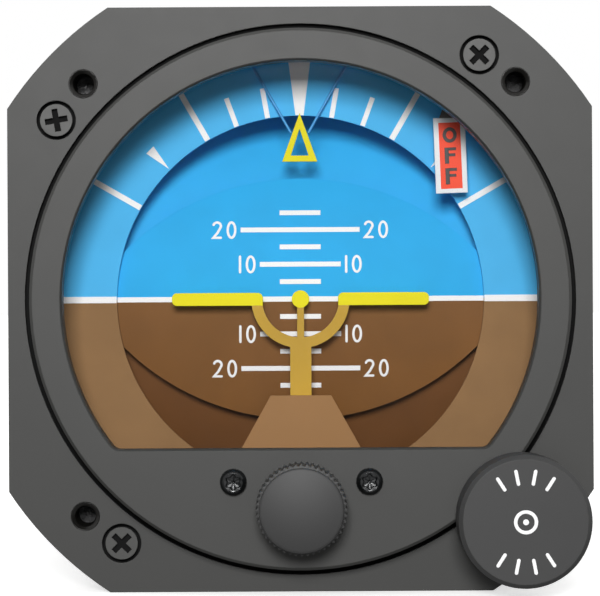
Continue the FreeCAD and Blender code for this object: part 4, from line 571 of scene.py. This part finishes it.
class Finishes:
    """Every finish of the instrument, made once."""

    def __init__(self) -> None:
        """Make the materials."""
        # Painted shade: near-black from 0.3 mm behind the front face, in pockets, holes and cavity.
        self.bezel = Enamel("bezel_satin", srgb(49, 49, 47), 0.5, wear=0.25,
                            worn=srgb(120, 119, 115), gloss=0.46, edge=0.00016, mottle=0.02,
                            rub=0.01, peel=1.2e-6,
                            bare=Bare(SHADE_BLACK, Axis.Y, 0.0003, (0.0423, 0.0506))).make()
        self.knob = Enamel("knob_satin", srgb(52, 52, 52), 0.52, peel=1.0e-6, wear=0.4,
                           worn=srgb(140, 140, 136), gloss=0.42, edge=0.0002, rub=0.01).make()
        # Painted shade: near-black from 0.12 mm behind the head's top, in the cross recesses.
        self.screw = Enamel("screw_grey", srgb(64, 64, 62), 0.48, wear=0.5,
                            worn=srgb(120, 120, 116), gloss=0.46,
                            bare=Bare(SHADE_BLACK, Axis.Y, 0.00012)).make()
        self.black_screw = Enamel("black_oxide", srgb(22, 24, 25), 0.22, peel=1e-6,
                                  metallic=0.3).make()
        self.glass = ClearGlass("window_glass").make()
        self.rubber = Moulding("black_rubber", srgb(24, 24, 24), 0.75).make()
        self.black = Enamel("black_anodise", srgb(26, 26, 27), 0.42).make()
        self.steel = Metal("steel", (0.55, 0.55, 0.56), 0.3).make()
        self.bearing = Metal("bearing_steel", (0.68, 0.68, 0.7), 0.18, marks=9000.0).make()
        self.yellow = Enamel("signal_yellow", srgb(237, 225, 0), 0.5, mottle=0.02,
                             peel=1.2e-6, gloss=0.15).make()
        # The post's pale edge colour is partly rubbed paint and partly a painted highlight along
        # its edges.
        self.ochre = Enamel("ochre_metallic", srgb(178, 140, 27), 0.45, mottle=0.09,
                            peel=2.5e-6, peel_scale=5000.0, wear=0.8, gloss=0.25,
                            worn=srgb(255, 232, 160), metallic=0.1).make()
        self.wire = Enamel("wire_blue", srgb(66, 160, 226), 0.4).make()
        self.brass = Metal("brass", (0.78, 0.56, 0.26), 0.3).make()
        self.mask = Enamel("mask_tan", srgb(154, 114, 72), 0.6, mottle=0.03, gloss=0.15).make()
        self.flag_white = Enamel("flag_white", srgb(232, 235, 238), 0.5, mottle=0.015,
                                 bare=Bare((0.12, 0.12, 0.115), Axis.Z, 0.0267)).make()
        self.flag_red = Enamel("flag_red", srgb(255, 78, 44), 0.55, mottle=0.02, gloss=0.3).make()
        self.ink = Enamel("printing_black", srgb(34, 28, 28), 0.5).make()
        self.print_white = Enamel("printing_white", srgb(252, 252, 252), 0.55, mottle=0.015,
                                  peel_scale=5000.0, gloss=0.3).make()
        self.case = Crinkle("case_crinkle", srgb(40, 40, 41)).make()
        self.casting = Metal("cast_aluminium", (0.62, 0.62, 0.61), 0.45, turned=False,
                             marks=900.0, depth=4e-6).make()
        self.card = DialPaint("card_paint", srgb(40, 178, 242), srgb(126, 84, 40)).make()
        self.ring = DialPaint("ring_paint", srgb(78, 188, 246), srgb(144, 108, 68)).make()
        self.backdrop = DialPaint("backdrop_paint", srgb(52, 182, 244), srgb(112, 72, 36)).make()
        self.insulator = Moulding("phenolic", srgb(104, 58, 34), 0.5).make()
        self.board = Laminate("circuit_board").make()
        self.gold = Metal("contact_gold", (0.92, 0.7, 0.32), 0.22).make()
        self.rotor = Metal("rotor_bronze", (0.5, 0.4, 0.3), 0.28, axis=Axis.Z,
                           centre=(0.0, 0.0596, 0.0), marks=4000.0).make()
        self.hole_dark = Enamel("thread_dark", srgb(30, 29, 27), 0.3, metallic=0.4).make()

    def by_slot(self) -> dict[str, bpy.types.Material]:
        """Finish for each material slot of the record.

        Returns:
            A material for each slot name.
        """
        return {
            "bezel_paint": self.bezel, "glass": self.glass, "gasket": self.rubber,
            "black_metal": self.black, "steel": self.steel, "bearing_steel": self.bearing,
            "yellow_paint": self.yellow, "wire_paint": self.wire, "brass": self.brass,
            "knob_grey": self.knob, "mask_paint": self.mask, "flag_paint": self.flag_white,
            "case_metal": self.case, "frame_metal": self.casting, "dial_paint": self.card,
            "insulator": self.insulator, "board": self.board, "contact_gold": self.gold,
            "rotor_metal": self.rotor,
        }


# ---- mesh makers
class Maker:
    """Mesh under construction that becomes one piece riding on a body."""

    def __init__(self) -> None:
        """Start an empty mesh."""
        self.mesh = bmesh.new()

    def turned(self, profile: Sequence[Point], centre: Sequence[float], steps: int = 96,
               ripple: Callable[[int, int], float] | None = None) -> None:
        """Revolve a profile about an axis along Y.

        Args:
            profile: Corners as radius and Y, in millimetres, from the front centre to the back.
            centre: X and Z of the axis, in millimetres.
            steps: Steps round the axis.
            ripple: Change of radius for a profile corner and a step, in millimetres.
        """
        rows = []
        for row, (radius, along) in enumerate(profile):
            if radius < 1e-6:
                rows.append([self.mesh.verts.new(Vector((centre[0], along, centre[1])) * MM)])
                continue
            ring = []
            for step in range(steps):
                reach = radius + (ripple(row, step) if ripple else 0.0)
                across, up = clock(reach, 360 * step / steps)
                ring.append(self.mesh.verts.new(
                    Vector((centre[0] + across, along, centre[1] + up)) * MM))
            rows.append(ring)
        for near, far in zip(rows, rows[1:]):
            for step in range(steps):
                after = (step + 1) % steps
                corners = [near[step % len(near)], near[after % len(near)],
                           far[after % len(far)], far[step % len(far)]]
                unique = list(dict.fromkeys(corners))
                if len(unique) > 2:
                    self.mesh.faces.new(unique)

    def inlay(self, faces: Faces, surface: Surface, proud: float = 0.05,
              sunk: float = -0.015) -> None:
        """Lay thin raised paint on a surface, with side walls down into it.

        Args:
            faces: Faces as corners in the surface's own two directions, in millimetres.
            surface: Point of the surface at two distances and a height, in metres.
            proud: Height of the paint, in millimetres.
            sunk: Height of the foot of its side walls, in millimetres.
        """
        corners: dict[Point, bmesh.types.BMVert] = {}
        made = []
        for face in faces:
            verts = []
            for place in face:
                key = (round(place[0], 5), round(place[1], 5))
                if key not in corners:
                    corners[key] = self.mesh.verts.new(surface(key[0], key[1], proud))
                verts.append(corners[key])
            made.append(self.mesh.faces.new(verts))
        places = {vert: key for key, vert in corners.items()}
        inside = set(made)
        rim = [edge for face in made for edge in face.edges
               if sum(other in inside for other in edge.link_faces) == 1]
        feet: dict[bmesh.types.BMVert, bmesh.types.BMVert] = {}
        for edge in rim:
            for vert in edge.verts:
                if vert not in feet:
                    feet[vert] = self.mesh.verts.new(surface(*places[vert], sunk))
            first, second = edge.verts
            self.mesh.faces.new([first, second, feet[second], feet[first]])

    def piece(self, name: str, material: bpy.types.Material, body: str,
              smooth: float = 35.0) -> bpy.types.Object:
        """Finish the mesh as an object.

        Args:
            name: Name of the piece.
            material: Its finish.
            body: Body that it rides on.
            smooth: Edges sharper than this stay sharp, in degrees.

        Returns:
            The new object.
        """
        bmesh.ops.recalc_face_normals(self.mesh, faces=self.mesh.faces)
        for face in self.mesh.faces:
            face.smooth = True
        for edge in self.mesh.edges:
            if len(edge.link_faces) == 2 and edge.calc_face_angle(0.0) > math.radians(smooth):
                edge.smooth = False
        data = bpy.data.meshes.new(name)
        self.mesh.to_mesh(data)
        self.mesh.free()
        data.materials.append(material)
        made = bpy.data.objects.new(name, data)
        bpy.context.scene.collection.objects.link(made)
        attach(made, body)
        log.info("piece %s rides on %s", name, body)
        return made


def oval(across: float, up: float, steps: int) -> list[Point]:
    """Corners of an oval about the origin, from its two half widths."""
    turns = [2 * math.pi * step / steps for step in range(steps)]
    return [(across * math.cos(turn), up * math.sin(turn)) for turn in turns]


def ribbon(path: Sequence[Point], width: float, closed: bool = False, caps: int = 6) -> Faces:
    """Faces of a stroke with round ends.

    Args:
        path: Points along the middle of the stroke.
        width: Width of the stroke.
        closed: Whether the stroke runs back to its start.
        caps: Steps of each round end.

    Returns:
        Faces as lists of corners.
    """
    count = len(path)
    half = width / 2
    sides = []
    for index, (x, y) in enumerate(path):
        before = path[index - 1] if closed or index else path[index]
        after = path[(index + 1) % count] if closed or index < count - 1 else path[index]
        into = math.atan2(y - before[1], x - before[0]) if before != (x, y) else None
        out = math.atan2(after[1] - y, after[0] - x) if after != (x, y) else into
        into = out if into is None else into
        turn = (out - into + math.pi) % (2 * math.pi) - math.pi
        angle = into + turn / 2 + math.pi / 2
        reach = half / max(MITRE_LIMIT, math.cos(turn / 2))
        step = (reach * math.cos(angle), reach * math.sin(angle))
        sides.append(((x + step[0], y + step[1]), (x - step[0], y - step[1])))
    faces = []
    for index in range(count if closed else count - 1):
        first, second = sides[index], sides[(index + 1) % count]
        faces.append([first[0], second[0], second[1], first[1]])
    if not closed:
        for end, away in ((0, 1), (count - 1, count - 2)):
            x, y = path[end]
            back = math.atan2(y - path[away][1], x - path[away][0])
            start = back - math.pi / 2
            arc = [(x + half * math.cos(start + math.pi * step / caps),
                    y + half * math.sin(start + math.pi * step / caps)) for step in range(caps + 1)]
            left, right = sides[end]
            arc[0], arc[-1] = (right, left) if end else (left, right)
            faces.append(arc)
    return faces


def moved(faces: Faces, across: float, up: float, turn: float = 0.0) -> Faces:
    """Turn faces clockwise by degrees, then shift them."""
    angle = math.radians(-turn)
    cos, sin = math.cos(angle), math.sin(angle)
    return [[(x * cos - y * sin + across, x * sin + y * cos + up) for x, y in face]
            for face in faces]


def flat_face(front: float) -> Surface:
    """Flat surface that looks forward, at a Y in millimetres."""
    return lambda across, up, high: Vector((across, front - high, up)) * MM


def bar(x0: float, x1: float, y0: float, y1: float) -> Faces:
    """Rectangle as one face."""
    return [[(x0, y0), (x1, y0), (x1, y1), (x0, y1)]]


@dataclass(frozen=True)
class Numerals:
    """Thin upright figures of a dial, drawn as strokes."""

    height: float = 2.72
    width: float = 1.5
    stroke: float = 0.37
    gap: float = 0.66

    def figure(self, digit: str) -> tuple[Faces, float]:
        """Draw one figure from its left edge.

        Args:
            digit: The figure, one of 0, 1 and 2.

        Returns:
            Its faces, and how wide it is.
        """
        half = (self.height - self.stroke) / 2
        reach = (self.width - self.stroke) / 2
        if digit == "1":
            faces = ribbon([(0.0, -half), (0.0, half)], self.stroke)
            return moved(faces, self.stroke / 2, 0.0), self.stroke
        if digit == "0":
            loop = ribbon(oval(reach, half, 28), self.stroke, closed=True)
            return moved(loop, self.width / 2, 0.0), self.width
        top = half - reach
        arc = [(reach * math.cos(math.radians(angle)), top + reach * math.sin(math.radians(angle)))
               for angle in range(160, -31, -15)]
        sweep = [(reach * 0.62, 0.08 * half), (reach * 0.1, -0.38 * half), (-reach, -half)]
        two = ribbon(arc + sweep + [(reach, -half)], self.stroke)
        return moved(two, self.width / 2, 0.0), self.width

    def number(self, digits: str) -> tuple[Faces, float]:
        """Draw a number from its left edge.

        Args:
            digits: The number.

        Returns:
            Its faces, and how wide it is.
        """
        faces, pen = [], 0.0
        for digit in digits:
            shape, width = self.figure(digit)
            faces += moved(shape, pen, 0.0)
            pen += width + self.gap
        return faces, pen - self.gap


# ---- sub-assemblies
@dataclass
class BankRing:
    """White bank scale on the face of the roll ring."""

    finish: Finishes
    bore: float = 27.5
    outer: float = 38.3
    short_end: float = 32.0
    long_end: float = 35.9
    short_width: float = 0.74
    long_width: float = 0.86
    horizon: float = 0.97
    wedge_tip: float = 0.62
    wedge_root: float = 1.98
    triangle: tuple[float, float, float] = (27.6, 31.7, 0.77)

    def build(self) -> None:
        """Lay the scale on the ring."""
        faces = []
        short, long = (self.short_end, self.short_width), (self.long_end, self.long_width)
        for side in (-1, 1):
            for angle, (end, width) in ((10, short), (20, short), (30, long), (60, long)):
                mark = bar(-width / 2, width / 2, self.bore, end)
                faces += moved(mark, 0.0, 0.0, side * angle)
            near, far, half = self.triangle
            faces += moved([[(0.0, near), (half, far), (-half, far)]], 0.0, 0.0, side * 45)
            faces += bar(side * self.bore, side * self.outer, -self.horizon / 2, self.horizon / 2)
        faces.append([(-self.wedge_tip, self.bore), (self.wedge_tip, self.bore),
                      (self.wedge_root, self.outer), (-self.wedge_root, self.outer)])
        made = Maker()
        made.inlay(faces, flat_face(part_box("bank_ring")[0].y / MM))
        made.piece("bank_scale", self.finish.print_white, "roll_gimbal")


@dataclass
class PitchScale:
    """White lines and numbers on the curved pitch card."""

    finish: Finishes
    radius: float = 60.0
    pivot: float = 71.6
    degree: float = 0.5236
    line: float = 0.74
    horizon: float = 0.78
    short_half: float = 3.08
    ten_half: float = 6.08
    twenty_half: float = 8.95
    number_gap: float = 0.62
    card_edge: float = 31.1
    numerals: Numerals = field(default_factory=Numerals)

    def surface(self) -> Surface:
        """Front of the curved card: distance across, distance along the arc, height."""
        def point(across: float, along: float, high: float) -> Vector:
            """Point of the card, in metres."""
            angle = along / self.radius
            reach = self.radius + high
            return Vector((across, self.pivot - reach * math.cos(angle),
                           reach * math.sin(angle))) * MM
        return point

    def build(self) -> None:
        """Lay the scale on the card."""
        faces = bar(-self.card_edge, self.card_edge, -self.horizon / 2, self.horizon / 2)
        for sign in (-1, 1):
            for angle, half in ((5, self.short_half), (10, self.ten_half), (15, self.short_half),
                                (20, self.twenty_half), (25, self.short_half)):
                level = sign * angle * self.degree
                faces += bar(-half, half, level - self.line / 2, level + self.line / 2)
                if half == self.short_half:
                    continue
                number, width = self.numerals.number(str(angle))
                faces += moved(number, half + self.number_gap, level)
                faces += moved(number, -half - self.number_gap - width, level)
        made = Maker()
        made.inlay(faces, self.surface(), 0.04)
        made.piece("pitch_scale", self.finish.print_white, "card")


@dataclass
class FlagFace:
    """Red field of the warning flag with its three letters."""

    finish: Finishes
    lean: float = 2.2
    centre: Point = (22.35, 21.15)
    field_half: Point = (1.6, 4.9)
    field_proud: float = 0.03
    letter_half: Point = (0.86, 1.2)
    letter_pitch: float = 3.05
    stem: float = 0.62
    arm: float = 0.44
    middle_arm: float = -0.12

    def build(self) -> None:
        """Lay the red field on the plate, and the letters on the field."""
        surface = flat_face(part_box("off_flag")[0].y / MM)
        wide, tall = self.field_half
        red = Maker()
        red.inlay(moved(bar(-wide, wide, -tall, tall), *self.centre, -self.lean), surface,
                  self.field_proud)
        red.piece("flag_field", self.finish.flag_red, "flag")
        ink = Maker()
        ink.inlay(moved(self.letters(), *self.centre, -self.lean), surface, 0.06, 0.02)
        ink.piece("flag_letters", self.finish.ink, "flag")

    def letters(self) -> Faces:
        """Three letters below each other, about the field's centre.

        Returns:
            Their faces.
        """
        wide, tall = self.letter_half
        loop = oval(wide * 1.28 - self.stem / 2, tall - self.stem / 2, 32)
        faces = moved(ribbon(loop, self.stem * 0.82, closed=True), 0.0, self.letter_pitch)
        for row in (0, -1):
            stroke = bar(-wide, -wide + self.stem, -tall, tall)
            stroke += bar(-wide + self.stem, wide, tall - self.arm, tall)
            stroke += bar(-wide + self.stem, wide * 0.85, self.middle_arm,
                          self.middle_arm + self.arm)
            faces += moved(stroke, 0.0, row * self.letter_pitch)
        return faces


@dataclass
class SetKnob:
    """Small knob with a straight knurl behind a smooth face."""

    finish: Finishes
    centre: Point = (0.0, -29.7)
    face: float = -13.1
    back: float = -5.3
    face_radius: float = 6.0
    rim_radius: float = 6.5
    ridges: int = 48
    ridge_steps: int = 6
    depth: float = 0.34
    rim_rows: tuple[int, int] = (7, 8)

    def ripple(self, row: int, step: int) -> float:
        """Knurl of the rim's rows."""
        if row not in self.rim_rows:
            return 0.0
        phase = (step % self.ridge_steps) / self.ridge_steps
        return -self.depth * (0.5 - 0.5 * math.cos(2 * math.pi * phase)) ** 0.7

    def build(self) -> None:
        """Turn the knob and knurl its rim."""
        face, back = self.face, self.back
        groove = self.face_radius - 0.45
        profile = [(0.0, face), (self.face_radius - 0.42, face),
                   (self.face_radius - 0.14, face + 0.1), (self.face_radius, face + 0.36),
                   (self.face_radius - 0.04, face + 0.75),
                   (groove, face + 0.95), (groove, face + 1.3),
                   (self.rim_radius, face + 1.42), (self.rim_radius, back - 0.3),
                   (self.rim_radius - 0.5, back), (1.5, back)]
        made = Maker()
        made.turned(profile, self.centre, self.ridges * self.ridge_steps, self.ripple)
        knob = made.piece("set_knob", self.finish.knob, "small_knob", 30)
        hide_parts("adjust_knob")


@dataclass
class LobedScrews:
    """Two black pan screws with six-lobed recesses."""

    finish: Finishes
    places: tuple[Point, ...] = ((-9.77, -26.2), (9.77, -26.2))
    seat: float = -4.5
    head_radius: float = 1.93
    head: float = 1.45
    shank_radius: float = 1.0
    shank: float = 9.4
    recess_radius: float = 1.12
    lobes: int = 6
    lobe_depth: float = 0.26
    recess: float = 0.85
    recess_rows: tuple[int, ...] = (1, 2, 3, 4)
    steps: int = 96

    def ripple(self, row: int, step: int) -> float:
        """Lobes on the rows of the recess."""
        if row not in self.recess_rows:
            return 0.0
        phase = 2 * math.pi * self.lobes * step / self.steps
        return self.lobe_depth * (math.cos(phase) - 1) / 2

    def build(self) -> None:
        """Turn both screws."""
        top = self.seat - self.head
        made = Maker()
        for place in self.places:
            floor = top + self.recess
            rim = self.recess_radius
            profile = [(0.0, floor + 0.25), (0.35, floor), (rim - 0.06, floor - 0.05),
                       (rim, top + 0.12), (rim + 0.05, top + 0.03),
                       (rim + 0.22, top), (self.head_radius - 0.42, top + 0.16),
                       (self.head_radius - 0.12, top + 0.5), (self.head_radius, top + 0.95),
                       (self.head_radius, self.seat), (self.shank_radius, self.seat),
                       (self.shank_radius, self.seat + self.shank), (0.0, self.seat + self.shank)]
            made.turned(profile, place, self.steps, self.ripple)
        screws = made.piece("lobed_screws", self.finish.black_screw, "housing", 40)
        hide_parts("adjuster_screws")


@dataclass
class InsertThreads:
    """Threads inside the three mounting holes."""

    finish: Finishes
    reach: float = 31.43
    start: float = 0.45
    end: float = 5.95
    minor: float = 1.38
    major: float = 1.53
    pitch: float = 0.79
    ridge: float = 0.98
    steps: int = 40

    def build(self) -> None:
        """Wind a helical ridge on each hole's wall."""
        made = Maker()
        turns = (self.end - self.start - self.pitch) / self.pitch
        for across, up in ((-1, 1), (1, 1), (-1, -1)):
            rows = []
            for step in range(int(turns * self.steps) + 1):
                turn = step / self.steps
                sin, cos = math.sin(2 * math.pi * turn), math.cos(2 * math.pi * turn)
                row = []
                for radius, shift in ((self.major, 0.0), (self.minor, self.pitch / 2),
                                      (self.major, self.pitch)):
                    along = self.start + turn * self.pitch + shift * self.ridge
                    row.append(made.mesh.verts.new(Vector((
                        across * self.reach + radius * cos, along,
                        up * self.reach + radius * sin)) * MM))
                rows.append(row)
            for near, far in zip(rows, rows[1:]):
                for index in range(2):
                    made.mesh.faces.new([near[index], near[index + 1], far[index + 1], far[index]])
        made.piece("insert_threads", self.finish.hole_dark, "housing", 40)


@dataclass
class CageMarks:
    """Plain white marks on the face of the caging knob: a dotted ring between two rows of bars."""

    finish: Finishes
    centre: Point = (31.43, -31.43)
    face: float = -13.1
    row_radius: float = 6.35
    bar_length: float = 2.3
    stroke: float = 0.5
    angles: tuple[float, ...] = (-33.0, -11.0, 11.0, 33.0)
    ring: float = 1.45
    dot: float = 0.42

    def build(self) -> None:
        """Lay the marks on the knob's face."""
        faces = []
        half = (self.bar_length - self.stroke) / 2
        for base in (0.0, 180.0):
            for angle in self.angles:
                spoke = ribbon([(0.0, self.row_radius - half), (0.0, self.row_radius + half)],
                               self.stroke)
                faces += moved(spoke, 0.0, 0.0, base + angle)
        loop = [clock(self.ring, 360 * step / 40) for step in range(40)]
        faces += ribbon(loop, self.stroke, closed=True)
        faces.append([clock(self.dot, 360 * step / 20) for step in range(20)])
        made = Maker()
        made.inlay(moved(faces, *self.centre), flat_face(self.face), 0.03, -0.02)
        made.piece("cage_marks", self.finish.print_white, "cage_control")


@dataclass
class Dress:
    """Finishes of the CAD nodes that stay in view."""

    finish: Finishes

    def build(self) -> None:
        """Give each node the finish of its slot, or its own."""
        slots = {part["node"]: part["material_slot"] for part in frame["record"]["subparts"]}
        finish = self.finish
        own = {
            "bank_ring": finish.ring, "backdrop": finish.backdrop, "pitch_card": finish.card,
            "aircraft_post": finish.ochre, "flange_screws": finish.screw,
            "mount_inserts": finish.hole_dark,
        }
        table = finish.by_slot()
        for node, cad in frame["nodes"].items():
            cad.data.materials.clear()
            cad.data.materials.append(own.get(node) or table[slots[node]])
        log.info("finishes on %d nodes", len(frame["nodes"]))


@dataclass
class Studio:
    """Pale floor, a light tent with one soft key light, and the camera."""

    distance: float = 0.36
    view_width: float = 0.0872
    aim: Point = (-0.00007, 0.00015)
    roll: float = 0.3
    floor: float = -0.0425
    floor_half: float = 6.0
    floor_glow: float = 0.55
    key_distance: float = 0.68
    key_rise: float = 15.0
    key_side: float = -1.8
    key_size: float = 0.17
    key_power: float = 3.8
    kicker_rise: float = -12.0
    kicker_side: float = 3.0
    kicker_size: float = 0.3
    kicker_power: float = 0.28
    tent_front: float = 0.16
    tent_side: float = 1.0
    tent_below: float = 0.35

    def light(self, name: str, rise: float, side: float, size: float, power: float) -> None:
        """Add a square area light that faces the dial.

        Args:
            name: Name of the light.
            rise: Angle above the dial's axis, in degrees.
            side: Angle to the right of it, in degrees.
            size: Side of the light.
            power: Power in watts.
        """
        data = bpy.data.lights.new(name, "AREA")
        data.size = size
        data.energy = power
        lamp = bpy.data.objects.new(name, data)
        up, across = math.radians(rise), math.radians(side)
        away = Vector((math.cos(up) * math.sin(across), -math.cos(up) * math.cos(across),
                       math.sin(up)))
        lamp.location = away * self.key_distance
        lamp.rotation_euler = away.to_track_quat("Z", "Y").to_euler()
        bpy.context.scene.collection.objects.link(lamp)

    def tent(self) -> None:
        """Light from all round: dim in front of the dial, brighter above and beside it."""
        world = bpy.data.worlds.new("studio")
        world.use_nodes = True
        nodes = Nodes(world.node_tree)
        _, depth, height = nodes.parts(nodes.node("ShaderNodeTexCoord").outputs["Generated"])
        ahead = nodes.ramp(depth, -0.75, -0.15, self.tent_front, self.tent_side,
                           interpolation_type="SMOOTHSTEP")
        above = nodes.ramp(height, -0.5, 0.4, self.tent_below, interpolation_type="SMOOTHSTEP")
        soft = nodes.node("ShaderNodeBackground")
        nodes.link(nodes.maths("MULTIPLY", ahead, above), soft.inputs["Strength"])
        white = nodes.node("ShaderNodeBackground")
        for ground in (soft, white):
            ground.inputs["Color"].default_value = (1.0, 1.0, 1.0, 1.0)
        mix = nodes.node("ShaderNodeMixShader")
        nodes.link(nodes.node("ShaderNodeLightPath").outputs["Is Camera Ray"], mix.inputs[0])
        nodes.link(soft.outputs[0], mix.inputs[1])
        nodes.link(white.outputs[0], mix.inputs[2])
        nodes.link(mix.outputs[0], nodes.node("ShaderNodeOutputWorld").inputs["Surface"])
        bpy.context.scene.world = world

    def build(self) -> None:
        """Make the stage, the lights and the camera."""
        scene = bpy.context.scene
        scene.view_settings.view_transform = "Standard"
        self.tent()
        self.stage()
        self.light("key", self.key_rise, self.key_side, self.key_size, self.key_power)
        self.light("kicker", self.kicker_rise, self.kicker_side, self.kicker_size,
                   self.kicker_power)
        lens = bpy.data.cameras.new("camera")
        lens.sensor_width = 36.0
        lens.lens = lens.sensor_width * self.distance / self.view_width
        lens.clip_start = 0.01
        camera = bpy.data.objects.new("camera", lens)
        camera.location = (self.aim[0], -self.distance, self.aim[1])
        camera.rotation_euler = Euler((math.radians(90), math.radians(self.roll), 0.0))
        scene.collection.objects.link(camera)
        scene.camera = camera

    def stage(self) -> None:
        """Make the pale floor, lit a little from inside like a light table."""
        shade = Shade("pale_floor", (0.9, 0.9, 0.89), 0.8, Emission_Strength=self.floor_glow)
        tone = shade.mixed(shade.noise(12.0, 3.0), (0.88, 0.88, 0.87), (0.92, 0.92, 0.91))
        shade.feed("Base Color", tone)
        shade.surface.inputs["Emission Color"].default_value = (1.0, 1.0, 1.0, 1.0)
        data = bpy.data.meshes.new("floor")
        size = self.floor_half
        sides = ((-size, -size), (size, -size), (size, size), (-size, size))
        data.from_pydata([(*side, self.floor) for side in sides], [], [(0, 1, 2, 3)])
        data.materials.append(shade.material)
        floor = bpy.data.objects.new("floor", data)
        bpy.context.scene.collection.objects.link(floor)
        floor.visible_diffuse = False
        floor.visible_glossy = False


def corners(box: Sequence[Vector]) -> list[list[float]]:
    """A box's two corners as plain lists."""
    return [list(corner) for corner in box]


def main() -> None:
    """Build every sub-assembly and the studio."""
    logging.basicConfig(level=logging.INFO, format="%(name)s: %(message)s")
    kept = set(frame["nodes"].values()) | set(frame["bodies"].values())
    for spare in [each for each in bpy.data.objects if each not in kept]:
        bpy.data.objects.remove(spare)
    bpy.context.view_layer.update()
    finish = Finishes()
    Dress(finish).build()
    for part in (BankRing, PitchScale, FlagFace, SetKnob, LobedScrews, InsertThreads, CageMarks):
        part(finish).build()
    Studio().build()


if __name__ == "__main__":
    main()
